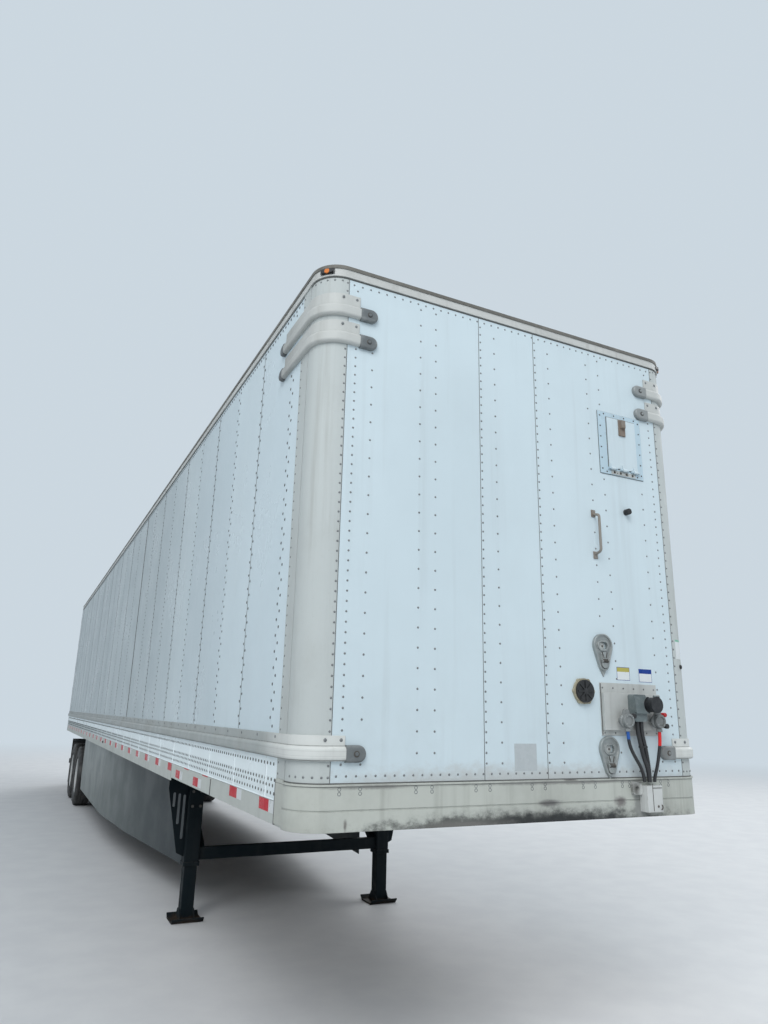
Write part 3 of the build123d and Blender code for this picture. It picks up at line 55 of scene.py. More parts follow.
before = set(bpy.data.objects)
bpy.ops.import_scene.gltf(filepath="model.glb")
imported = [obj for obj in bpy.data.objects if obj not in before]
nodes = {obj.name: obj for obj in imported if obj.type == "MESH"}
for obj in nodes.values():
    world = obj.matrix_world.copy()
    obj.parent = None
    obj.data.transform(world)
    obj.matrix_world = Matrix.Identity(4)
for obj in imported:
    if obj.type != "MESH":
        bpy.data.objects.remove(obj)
cad_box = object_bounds()

# How far the outer face of the closed doors lies behind the front of the rear frame, in metres
DOOR_FACE = 0.12
# Faces and levels read from the frame, in metres: the nose faces -Y and the kerb side is -X
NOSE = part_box("front_wall")[0].y
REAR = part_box("rear_frame")[0].y + DOOR_FACE
FRAME_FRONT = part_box("side_wall_kerb")[1].y
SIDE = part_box("side_wall_road")[1].x
ROOF = cad_box[1][2]
RAIL_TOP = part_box("front_bottom_rail")[1].z
RAIL_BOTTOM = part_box("front_bottom_rail")[0].z
WALL_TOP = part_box("front_wall")[1].z
SIDE_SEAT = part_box("side_wall_kerb")[0].z
RUB_LOW, RUB_HIGH = (corner.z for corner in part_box("rub_rails"))
BRACKET_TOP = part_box("line_bracket")[1].z
SOCKET_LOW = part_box("electrical_socket")[0].z
AXLES = {
    name: (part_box(f"tyres_{name}_kerb")[0].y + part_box(f"tyres_{name}_kerb")[1].y) / 2
    for name in ("front", "rear")
}
TYRE_RADIUS = (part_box("tyres_front_kerb")[1].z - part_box("tyres_front_kerb")[0].z) / 2
SIDES = (("kerb", -1), ("road", 1))

# Sizes and places of the frame's pieces that their boxes don't tell, in metres. First the radius
# of the nose corners, how far the corner posts reach along the side, and X of their edge on the
# nose
CORNER = 0.150
POST_REACH = 0.175
POST_EDGE = SIDE - CORNER - 0.007
# The height of a bumper rail's bulge, that of a whole upper rail, and how far a rail stands out
BULGE = 0.066
UPPER_RAIL = 0.135
RAIL_STAND = 0.025
# How far the first side post lies behind the nose, and the distance between the side posts
FIRST_POST = 0.430
POST_PITCH = 0.610
# How far the top rail stands out of a nose corner and a marker lamp out of its seat, X and Z of
# the socket's cover, and X of the vent's hinge
TOP_RAIL_STAND = 0.0053
MARKER_STAND = 0.014
SOCKET_COVER = (0.812, 1.806)
HINGE_X = 0.813
# X and Z of each pear hook's disc with how far its foot is raised, and how far a hook's middle
# lies below its disc
HOOKS = ((0.550, 2.131, 0.008), (0.556, 1.562, 0.020))
HOOK_DROP = 0.054
# X of each air coupling, and the Z of both and how far their faces stand out
COUPLINGS = (0.642, 0.882)
COUPLING_Z = 1.716
COUPLING_STAND = 0.092

# Places of what the looks add: where the side flange of the corner posts ends behind the nose,
# the levels of the side tape and of the ledge over it, and the overlaid plate's level and height
POST_FLANGE = 0.290
TAPE_Z = 1.277
LEDGE_Z = 1.312
PLATE_Z = 1.252
PLATE_HEIGHT = 0.096

FRONT = np.array([0.0, -1.0, 0.0])
BACK = -FRONT
UP = np.array([0.0, 0.0, 1.0])

# The materials by name, filled by the finishes step
FINISHES = {}


class TrailerSizes(bpy.types.PropertyGroup):
    """Sizes of what the looks add to the frame."""

    rivet_radius: bpy.props.FloatProperty(
        name="Rivet radius", description="Radius of a rivet head", default=0.0060, unit="LENGTH"
    )
    rivet_height: bpy.props.FloatProperty(
        name="Rivet height", description="How far a rivet head stands out", default=0.0028,
        unit="LENGTH",
    )
    rivet_pitch: bpy.props.FloatProperty(
        name="Rivet pitch", description="Distance between rivets of a close row", default=0.0508,
        unit="LENGTH",
    )
    post_pitch: bpy.props.FloatProperty(
        name="Post pitch", description="Distance between the side posts", default=POST_PITCH,
        unit="LENGTH",
    )
    first_post: bpy.props.FloatProperty(
        name="First post", description="First side post behind the nose", default=FIRST_POST,
        unit="LENGTH",
    )
    groove_depth: bpy.props.FloatProperty(
        name="Groove depth", description="Depth of the tyre grooves", default=0.011, unit="LENGTH"
    )


class TrailerFinish(bpy.types.PropertyGroup):
    """Colours of the finishes."""

    panel: bpy.props.FloatVectorProperty(
        name="Panel white", description="Painted aluminium panels", size=3, subtype="COLOR",
        default=(0.573, 0.676, 0.722),
    )
    post: bpy.props.FloatVectorProperty(
        name="Post", description="Dull aluminium of the corner posts", size=3, subtype="COLOR",
        default=(0.480, 0.520, 0.515),
    )
    rail: bpy.props.FloatVectorProperty(
        name="Nose rail", description="Weathered paint of the front bottom rail", size=3,
        subtype="COLOR", default=(0.470, 0.495, 0.455),
    )
    bumper: bpy.props.FloatVectorProperty(
        name="Bumper rail", description="Extruded rails round the nose", size=3, subtype="COLOR",
        default=(0.500, 0.520, 0.505),
    )
    dirt: bpy.props.FloatVectorProperty(
        name="Road dirt", description="Dried road film", size=3, subtype="COLOR",
        default=(0.120, 0.115, 0.098),
    )
    chassis: bpy.props.FloatVectorProperty(
        name="Chassis paint", description="Dark paint of the underframe", size=3,
        subtype="COLOR", default=(0.030, 0.036, 0.040),
    )
    cast: bpy.props.FloatVectorProperty(
        name="Cast metal", description="Grey castings", size=3, subtype="COLOR",
        default=(0.270, 0.290, 0.290),
    )
    tape_red: bpy.props.FloatVectorProperty(
        name="Tape red", description="Reflective tape, red", size=3, subtype="COLOR",
        default=(0.480, 0.010, 0.022),
    )


# Meshes

def joined(parts):
    """Put several (points, polygons) shapes into one, each one's indices moved past the last."""
    points, polygons, moved = [], [], 0
    for part_points, part_polygons in parts:
        part_points = np.asarray(part_points, float).reshape(-1, 3)
        points.append(part_points)
        polygons += [np.asarray(polygon) + moved for polygon in part_polygons]
        moved += len(part_points)
    return np.concatenate(points), polygons


def piece(name, shape, finish, body="trailer", smooth=True, standing_for=()):
    """Make a named piece of a shape, with its finish and the body that it rides on."""
    points, polygons = shape
    polygons = [
        np.asarray(group, np.int32).reshape(-1, np.shape(group)[-1]) for group in polygons
    ]
    sizes = np.concatenate([np.full(len(group), group.shape[1]) for group in polygons])
    mesh = bpy.data.meshes.new(name)
    mesh.vertices.add(len(points))
    mesh.vertices.foreach_set("co", np.asarray(points, np.float32).ravel())
    corners = np.concatenate([group.ravel() for group in polygons])
    mesh.loops.add(len(corners))
    mesh.loops.foreach_set("vertex_index", corners)
    mesh.polygons.add(len(sizes))
    mesh.polygons.foreach_set("loop_start", np.concatenate([[0], np.cumsum(sizes)[:-1]]))
    mesh.polygons.foreach_set("use_smooth", np.full(len(sizes), smooth))
    mesh.update(calc_edges=True)
    mesh.validate()
    if smooth:
        mesh.set_sharp_from_angle(angle=radians(38))
    made = bpy.data.objects.new(name, mesh)
    bpy.context.scene.collection.objects.link(made)
    mesh.materials.append(FINISHES[finish])
    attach(made, body)
    if standing_for:
        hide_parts(*standing_for)
    return made


def turned_many(centres, normals, profile, sides=8, phase=0.0):
    """Turned solids at many places at once.

    At centre c with outward normal n, and with u and v square to n and to each other, a point is
    c + h n + r (u cos a + v sin a), where (r, h) runs along the profile and a round the circle.
    """
    centres = np.asarray(centres, float).reshape(-1, 3)
    normals = np.broadcast_to(np.asarray(normals, float), centres.shape)
    helper = np.where(np.abs(normals[:, 2:3]) > 0.9, [[1.0, 0.0, 0.0]], [[0.0, 0.0, 1.0]])
    u = np.cross(helper, normals)
    u /= np.linalg.norm(u, axis=1, keepdims=True)
    v = np.cross(normals, u)
    angle = phase + np.arange(sides) * 2 * pi / sides
    ring = np.cos(angle)[None, :, None] * u[:, None] + np.sin(angle)[None, :, None] * v[:, None]
    profile = np.asarray(profile, float)
    rise = normals[:, None, None] * profile[None, :, None, 1:2]
    points = centres[:, None, None] + rise + ring[:, None] * profile[None, :, None, 0:1]
    count, rows = len(centres), len(profile)
    index = np.arange(count * rows * sides).reshape(count, rows, sides)
    turn = np.roll(index, -1, axis=2)
    quads = np.stack([index[:, :-1], turn[:, :-1], turn[:, 1:], index[:, 1:]], axis=-1)
    return points.reshape(-1, 3), [quads.reshape(-1, 4), index[:, 0, ::-1], index[:, -1]]


def slabs(centres, normals, ups, sizes, bevel=0.0):
    """Thin plates at many places, each with a narrow slope round its outer face.

    At centre c, corners are c + t n +- (w/2) s +- (h/2) u, where n is the outward normal, u the
    up direction, s = u x n, and (w, h, t) the plate's width, height and thickness. The outer
    rectangle is smaller by the bevel on each side.
    """
    centres = np.asarray(centres, float).reshape(-1, 3)
    count = len(centres)
    normals = np.broadcast_to(np.asarray(normals, float), (count, 3))
    ups = np.broadcast_to(np.asarray(ups, float), (count, 3))
    sizes = np.broadcast_to(np.asarray(sizes, float), (count, 3))
    sideways = np.cross(ups, normals)
    corners = np.array([(-1, -1), (1, -1), (1, 1), (-1, 1)]) / 2
    rows = []
    for inset, level in ((0.0, 0.0), (0.0, 1.0), (bevel, 1.0)):
        lift = sizes[:, 2] * level - (bevel if level and not inset else 0.0)
        width = sizes[:, 0] - 2 * inset
        tall = sizes[:, 1] - 2 * inset
        rows.append(
            centres[:, None]
            + normals[:, None] * lift[:, None, None]
            + sideways[:, None] * (corners[:, 0] * width[:, None])[:, :, None]
            + ups[:, None] * (corners[:, 1] * tall[:, None])[:, :, None]
        )
    if not bevel:
        rows = rows[:2]
    points = np.stack(rows, axis=1)
    index = np.arange(count * len(rows) * 4).reshape(count, len(rows), 4)
    turn = np.roll(index, -1, axis=2)
    quads = np.stack([index[:, :-1], turn[:, :-1], turn[:, 1:], index[:, 1:]], axis=-1)
    return points.reshape(-1, 3), [quads.reshape(-1, 4), index[:, 0, ::-1], index[:, -1]]


def points_at(x, y, z):
    """Points from their coordinates, where a single number holds for all of them."""
    return np.stack(np.broadcast_arrays(x, y, z), axis=-1).astype(float)


def on_nose(x, z, size, stand=0.0, bevel=0.0):
    """Plates (width, height, thickness) on the nose, a distance out from its face."""
    return slabs(points_at(x, NOSE - stand, z), FRONT, UP, size, bevel)


def on_rear(x, z, size, y=REAR):
    """Plates (width, height, thickness) that face the rear."""
    return slabs(points_at(x, y, z), BACK, UP, size)


def on_side(sign, y, z, size, stand=0.0, bevel=0.0):
    """Plates (width, height, thickness) on the side wall of a sign, a distance out from it."""
    return slabs(points_at(sign * (SIDE + stand), y, z), (sign, 0, 0), UP, size, bevel)


def rectangle_lines(centre, half, offset, line, stand, thick):
    """Four strips on the nose round a rectangle, their middles an offset outside its sides."""
    x, z = centre
    wide, tall = half
    strips = (
        (0.0, tall + offset, 2 * wide, line), (0.0, -tall - offset, 2 * wide, line),
        (wide + offset, 0.0, line, 2 * tall), (-wide - offset, 0.0, line, 2 * tall),
    )
    return [
        on_nose(x + dx, z + dz, (width, height, thick), stand) for dx, dz, width, height in strips
    ]


def clockwise(section):
    """A section's points in clockwise order, told by the sign of its area, half the sum of
    a_i b_(i+1) - a_(i+1) b_i."""
    section = np.asarray(section, float)
    ahead = np.roll(section, -1, axis=0)
    area = np.sum(section[:, 0] * ahead[:, 1] - ahead[:, 0] * section[:, 1]) / 2
    return section[::-1] if area > 0 else section


def carried(section, path, up=UP, closed=False):
    """A closed section carried along a path.

    With t the path's direction at a point p, side = t x up and rise = side x t, a point is
    p + a side + b rise for each (a, b) of the section. Open ends get flat faces.
    """
    path = np.asarray(path, float)
    section = clockwise(section)
    if closed:
        along = np.roll(path, -1, axis=0) - np.roll(path, 1, axis=0)
    else:
        along = np.gradient(path, axis=0)
    along /= np.linalg.norm(along, axis=1, keepdims=True)
    across = np.cross(along, np.asarray(up, float))
    across /= np.linalg.norm(across, axis=1, keepdims=True)
    rise = np.cross(across, along)
    points = (
        path[:, None]
        + across[:, None] * section[None, :, :1]
        + rise[:, None] * section[None, :, 1:]
    )
    count, sides = len(path), len(section)
    index = np.arange(count * sides).reshape(count, sides)
    ahead = np.roll(index, -1, axis=0) if closed else index[1:]
    here = index if closed else index[:-1]
    quads = np.stack(
        [here, np.roll(here, -1, axis=1), np.roll(ahead, -1, axis=1), ahead], axis=-1
    )
    polygons = [quads.reshape(-1, 4)]
    if not closed:
        polygons += [index[:1, ::-1], index[-1:]]
    return points.reshape(-1, 3), polygons


def circle(radius, sides=12):
    """A circle's section, (r cos a, r sin a)."""
    angle = np.arange(sides) * 2 * pi / sides
    return np.stack([radius * np.cos(angle), radius * np.sin(angle)], axis=1)


def ring_section(section, centre, sides=96, axis=(1.0, 0.0, 0.0)):
    """A closed section (out, r) turned about an axis through a centre.

    A point is centre + out x axis + r (up cos a + side sin a), a round the whole circle.
    """
    axis = np.asarray(axis, float)
    side_way = np.cross(axis, UP)
    angle = np.arange(sides) * 2 * pi / sides
    round_way = np.cos(angle)[:, None] * UP + np.sin(angle)[:, None] * side_way
    section = clockwise(section)
    points = (
        np.asarray(centre, float)
        + section[None, :, :1] * axis
        + section[None, :, 1:] * round_way[:, None]
    )
    count = len(section)
    index = np.arange(sides * count).reshape(sides, count)
    ahead = np.roll(index, -1, axis=0)
    quads = np.stack(
        [index, ahead, np.roll(ahead, -1, axis=1), np.roll(index, -1, axis=1)], axis=-1
    )
    return points.reshape(-1, 3), [quads.reshape(-1, 4)]


def nose_path(stand_out, z, reach=POST_REACH, steps=16):
    """Path round the nose at a distance outside its faces, from the kerb side to the road side.

    Each corner is a quarter circle (r cos a, r sin a) about its own middle, and r is the
    corner radius and that distance.
    """
    angle = np.linspace(0, pi / 2, steps)
    radius = CORNER + stand_out
    right_x = SIDE - CORNER + radius * np.cos(angle)
    right_y = NOSE + CORNER - radius * np.sin(angle)
    xs = np.concatenate([[SIDE + stand_out], right_x, -right_x[::-1], [-SIDE - stand_out]])
    ys = np.concatenate([[NOSE + reach], right_y, right_y[::-1], [NOSE + reach]])
    return np.stack([xs, ys, np.full(len(xs), z)], axis=1)[::-1]


def spaced(start, end, pitch):
    """Evenly spaced places from start to end, as near the pitch as a whole number allows."""
    return np.linspace(start, end, max(2, int(round(abs(end - start) / pitch)) + 1))


def rivet_profile(radius, height):
    """A rivet head, a low dome: its full radius at its foot, 0.72 of it at 0.80 of the height
    and 0.30 of it at the top."""
    return [
        (radius, -0.001), (radius, height * 0.15), (radius * 0.72, height * 0.80),
        (radius * 0.30, height),
    ]


def bolt_profile(radius, height):
    """A hexagon head with its corners turned off."""
    return [(radius, -0.001), (radius, height * 0.82), (radius * 0.86, height)]


# Material helpers

FLOAT = "NodeSocketFloat"


def node(tree, kind, inputs=None, **settings):
    """Add a node, set its properties, and set or link its inputs."""
    made = tree.nodes.new(kind)
    for key, value in settings.items():
        setattr(made, key, value)
    for key, value in (inputs or {}).items():
        if isinstance(value, bpy.types.NodeSocket):
            tree.links.new(value, made.inputs[key])
        else:
            made.inputs[key].default_value = value
    return made


def maths(tree, operation, first, second=0.0, clamp=False):
    """A Math node's output."""
    made = node(tree, "ShaderNodeMath", {0: first, 1: second}, operation=operation)
    made.use_clamp = clamp
    return made.outputs[0]


def vectors(tree, operation, first, second=None):
    """A Vector Math node's outputs."""
    inputs = {0: first} if second is None else {0: first, 1: second}
    return node(tree, "ShaderNodeVectorMath", inputs, operation=operation).outputs


def object_place(tree):
    """Each point's place in the coordinates of its object."""
    return node(tree, "ShaderNodeTexCoord").outputs["Object"]


def object_parts(tree):
    """The X, Y and Z of that place."""
    return node(tree, "ShaderNodeSeparateXYZ", {0: object_place(tree)}).outputs


def distance_from_axis(tree, x, z):
    """How far each point lies from the line along Y at (x, z)."""
    flat = vectors(tree, "MULTIPLY", object_place(tree), (1, 0, 1))[0]
    return vectors(tree, "DISTANCE", flat, (x, 0.0, z))["Value"]


def span(tree, value, low, high, to_low=0.0, to_high=1.0):
    """A value mapped smoothly from one range to another and held at its ends."""
    inputs = {
        "Value": value, "From Min": low, "From Max": high, "To Min": to_low, "To Max": to_high,
    }
    made = node(tree, "ShaderNodeMapRange", inputs, interpolation_type="SMOOTHSTEP")
    return made.outputs["Result"]


def stretched_noise(tree, scale, detail=4.0, roughness=0.55):
    """Noise on object coordinates, its scale one number or one for each axis."""
    scales = scale if isinstance(scale, tuple) else (scale, scale, scale)
    inputs = {
        "Vector": vectors(tree, "MULTIPLY", object_place(tree), scales)[0], "Scale": 1.0,
        "Detail": detail, "Roughness": roughness,
    }
    return node(tree, "ShaderNodeTexNoise", inputs).outputs["Fac"]


def patches(tree, scale, detail, roughness, low, high, least=0.0, most=1.0):
    """Noise turned into patches: the least strength below low, the most above high."""
    noise = stretched_noise(tree, scale, detail, roughness)
    return span(tree, noise, low, high, least, most)


def fluted(tree, place, turns):
    """Fine flutes along a coordinate, the size of sin(turns x)."""
    return maths(tree, "ABSOLUTE", maths(tree, "SINE", maths(tree, "MULTIPLY", place, turns)))


def scaled(colour, share, lift=0.0):
    """A colour with each channel c changed to share c + lift."""
    return tuple(share * channel + lift for channel in colour)


def blend_colour(tree, share, first, second, mode="MIX"):
    """Two colours mixed by a share."""
    made = tree.nodes.new("ShaderNodeMix")
    made.data_type = "RGBA"
    made.blend_type = mode
    made.clamp_factor = True
    for name, value in (("Factor_Float", share), ("A_Color", first), ("B_Color", second)):
        socket = next(s for s in made.inputs if s.identifier == name)
        if isinstance(value, bpy.types.NodeSocket):
            tree.links.new(value, socket)
        elif name == "Factor_Float":
            socket.default_value = value
        else:
            socket.default_value = (*value, 1.0)
    return next(s for s in made.outputs if s.identifier == "Result_Color")


def new_group(name, inputs, outputs):
    """A shader node group with number inputs (name: default) and outputs (name: type)."""
    tree = bpy.data.node_groups.new(name, "ShaderNodeTree")
    for label, default in inputs.items():
        socket = tree.interface.new_socket(name=label, in_out="INPUT", socket_type=FLOAT)
        socket.default_value = default
    for label, kind in outputs.items():
        tree.interface.new_socket(name=label, in_out="OUTPUT", socket_type=kind)
    return tree, tree.nodes.new("NodeGroupInput"), tree.nodes.new("NodeGroupOutput")


def road_film_group():
    """Road film: blotches, fine specks and vertical runs, stronger towards a low height."""
    tree, inside, outside = new_group(
        "Road film",
        {"Amount": 0.3, "Runs": 0.3, "Low": 1.2, "High": 1.9, "Specks": 0.25},
        {"Mask": FLOAT, "Height": FLOAT},
    )
    given = inside.outputs
    blotch = patches(tree, (1.7, 1.7, 1.3), 6.0, 0.65, 0.42, 0.72)
    runs = patches(tree, (16.0, 16.0, 0.55), 5.0, 0.6, 0.50, 0.78)
    specks = patches(tree, (60.0, 60.0, 45.0), 3.0, 0.7, 0.58, 0.75)
    inputs = {
        "Value": object_parts(tree)["Z"], "From Min": given["Low"], "From Max": given["High"],
        "To Min": 1.0, "To Max": 0.25,
    }
    lower = node(tree, "ShaderNodeMapRange", inputs).outputs["Result"]
    film = maths(tree, "MULTIPLY", maths(tree, "MULTIPLY", blotch, lower), given["Amount"])
    trails = maths(tree, "MULTIPLY", runs, given["Runs"])
    grains = maths(tree, "MULTIPLY", maths(tree, "MULTIPLY", specks, lower), given["Specks"])
    grains = maths(tree, "MULTIPLY", grains, given["Amount"])
    mask = maths(tree, "ADD", maths(tree, "ADD", film, trails), grains, clamp=True)
    tree.links.new(mask, outside.inputs["Mask"])
    tree.links.new(specks, outside.inputs["Height"])
    return tree


def edge_wear_group():
    """Edge wear: 1 where a rounded copy of the surface turns away from the real one."""
    tree, inside, outside = new_group(
        "Edge wear", {"Width": 0.004}, {"Mask": FLOAT, "Normal": "NodeSocketVector"}
    )
    bevel = node(tree, "ShaderNodeBevel", {"Radius": inside.outputs["Width"]}, samples=4)
    real = node(tree, "ShaderNodeNewGeometry").outputs["Normal"]
    facing = vectors(tree, "DOT_PRODUCT", bevel.outputs["Normal"], real)["Value"]
    worn = span(tree, facing, 0.995, 0.90)
    broken = patches(tree, 35.0, 4.0, 0.6, 0.40, 0.62)
    tree.links.new(maths(tree, "MULTIPLY", worn, broken), outside.inputs["Mask"])
    tree.links.new(bevel.outputs["Normal"], outside.inputs["Normal"])
    return tree


def ripple_group():
    """Ripple of a sheet held by rivets: slow swells and a soft crease along each post."""
    tree, inside, outside = new_group(
        "Sheet ripple", {"Pitch": POST_PITCH, "Start": 0.0}, {"Height": FLOAT}
    )
    part = object_parts(tree)
    swell = stretched_noise(tree, (1.5, 1.5, 0.9), 2.0, 0.5)
    along = maths(tree, "ADD", part["X"], part["Y"])
    along = maths(tree, "SUBTRACT", along, inside.outputs["Start"])
    turns = maths(tree, "DIVIDE", along, inside.outputs["Pitch"])
    wave = maths(tree, "COSINE", maths(tree, "MULTIPLY", turns, 2 * pi))
    crease = maths(tree, "POWER", maths(tree, "ABSOLUTE", wave), 14.0)
    height = maths(tree, "ADD", swell, maths(tree, "MULTIPLY", crease, 0.10))
    tree.links.new(height, outside.inputs["Height"])
    return tree


def grouped(tree, group, **values):
    """Place a node group with its own values."""
    made = node(tree, "ShaderNodeGroup", node_tree=group)
    for key, value in values.items():
        made.inputs[key.replace("_", " ").capitalize()].default_value = value
    return made.outputs


def new_material(name, **values):
    """A material with one Principled shader, its constants set on its own sockets."""
    material = bpy.data.materials.new(name)
    material.use_nodes = True
    tree = material.node_tree
    shader = tree.nodes["Principled BSDF"]
    for key, value in values.items():
        shader.inputs[key.replace("_", " ")].default_value = value
    return material, tree, shader


def finished(material, shade, low, high, scale=9.0):
    """Give a material its colour and a roughness that drifts between two values."""
    tree = material.node_tree
    shader = tree.nodes["Principled BSDF"]
    tree.links.new(shade, shader.inputs["Base Color"])
    drift = patches(tree, scale, 4.0, 0.6, 0.35, 0.65, low, high)
    tree.links.new(drift, shader.inputs["Roughness"])
    return material


def bumped(tree, shader, height, distance, strength=0.5, normal=None):
    """Bump from a height, over a given normal where there is one."""
    inputs = {"Height": height, "Distance": distance, "Strength": strength}
    if normal is not None:
        inputs["Normal"] = normal
    made = node(tree, "ShaderNodeBump", inputs)
    tree.links.new(made.outputs["Normal"], shader.inputs["Normal"])


def smudge(tree, centre, reach):
    """A soft ragged mark at a place on the object, 1 at its middle."""
    away = vectors(tree, "SUBTRACT", object_place(tree), centre)[0]
    away = vectors(tree, "DIVIDE", away, reach)[0]
    length = vectors(tree, "LENGTH", away)["Value"]
    ragged = maths(tree, "MULTIPLY", stretched_noise(tree, (14.0, 14.0, 20.0), 5.0, 0.7), 1.3)
    return span(tree, maths(tree, "ADD", length, ragged), 1.75, 0.85)


def painted(name, groups, colour, dirt, rough, film, coat=0.0, specks=0.25, metallic=0.0,
            gloss=0.5, ripple=None, marks=(), wear=None, bays=None, fade=None, levels=(),
            lines=(), drift=9.0):
    """Paint or dull metal under road film.

    rough is the least and the most roughness, and drift the scale at which it changes; film is
    (amount, runs, low, high) of the road film. What follows is optional: ripple (pitch, start,
    distance) of a sheet, marks (centre, reach, colour), wear (width, bare colour) of the edges,
    bays (start, pitch) that each have a tone, a painted reflection of sheets that tilt a little
    differently, fade (near Y, far Y, colour) along the trailer, painted shade and light that
    change along it, levels (height, softness, colour) that colour what lies below, and lines
    (height, half width, strength), fine and dark.
    """
    material, tree, shader = new_material(
        name, Coat_Weight=coat, Coat_Roughness=0.08, Metallic=metallic, Specular_IOR_Level=gloss
    )
    amount, runs, low, high = film
    film_out = grouped(
        tree, groups["film"], amount=amount, runs=runs, low=low, high=high, specks=specks
    )
    tint = blend_colour(
        tree, patches(tree, (0.9, 0.9, 0.5), 3.0, 0.55, 0.35, 0.68, 0.0, 0.6), colour,
        scaled(colour, 0.90),
    )
    part = object_parts(tree)
    # Painted shade and light: a blend towards a tone from the near Y to the far Y
    if fade is not None:
        near, far, tone = fade
        tint = blend_colour(tree, span(tree, part["Y"], near, far), tint, tone)
    # Painted reflections: each bay between posts gets its own tone, for sheets that tilt a little
    # differently
    if bays is not None:
        start, pitch = bays
        number = maths(tree, "DIVIDE", maths(tree, "SUBTRACT", part["Y"], start), pitch)
        number = maths(tree, "FLOOR", number)
        tone = node(tree, "ShaderNodeTexWhiteNoise", {"W": number}, noise_dimensions="1D")
        tint = blend_colour(tree, tone.outputs["Value"], tint, (0.89, 0.90, 0.91), "MULTIPLY")
    for height, soft, tone in levels:
        below = span(tree, part["Z"], height + soft, height - soft)
        tint = blend_colour(tree, below, tint, tone)
    for height, half, strength in lines:
        away = maths(tree, "ABSOLUTE", maths(tree, "SUBTRACT", part["Z"], height))
        line = span(tree, away, half, half * 0.4, 0.0, strength)
        tint = blend_colour(tree, line, tint, (0.10, 0.105, 0.10))
    shade = blend_colour(tree, film_out["Mask"], tint, dirt)
    normal = None
    if wear is not None:
        width, bare = wear
        worn = grouped(tree, groups["wear"], width=width)
        shade = blend_colour(tree, maths(tree, "MULTIPLY", worn["Mask"], 0.7), shade, bare)
        normal = worn["Normal"]
    for centre, reach, tone in marks:
        shade = blend_colour(tree, smudge(tree, centre, reach), shade, tone)
    if ripple is not None:
        pitch, start, distance = ripple
        height = grouped(tree, groups["ripple"], pitch=pitch, start=start)["Height"]
        bumped(tree, shader, height, distance, 0.6, normal)
    else:
        bumped(tree, shader, film_out["Height"], 0.0012, 0.35, normal)
    return finished(material, shade, *rough, drift)


def cap_heights():
    """Heights of the middles of the three rail caps on each side of the nose."""
    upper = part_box("corner_rails")
    return [low + BULGE / 2 for low in (RUB_LOW, upper[0].z, upper[1].z - UPPER_RAIL)]


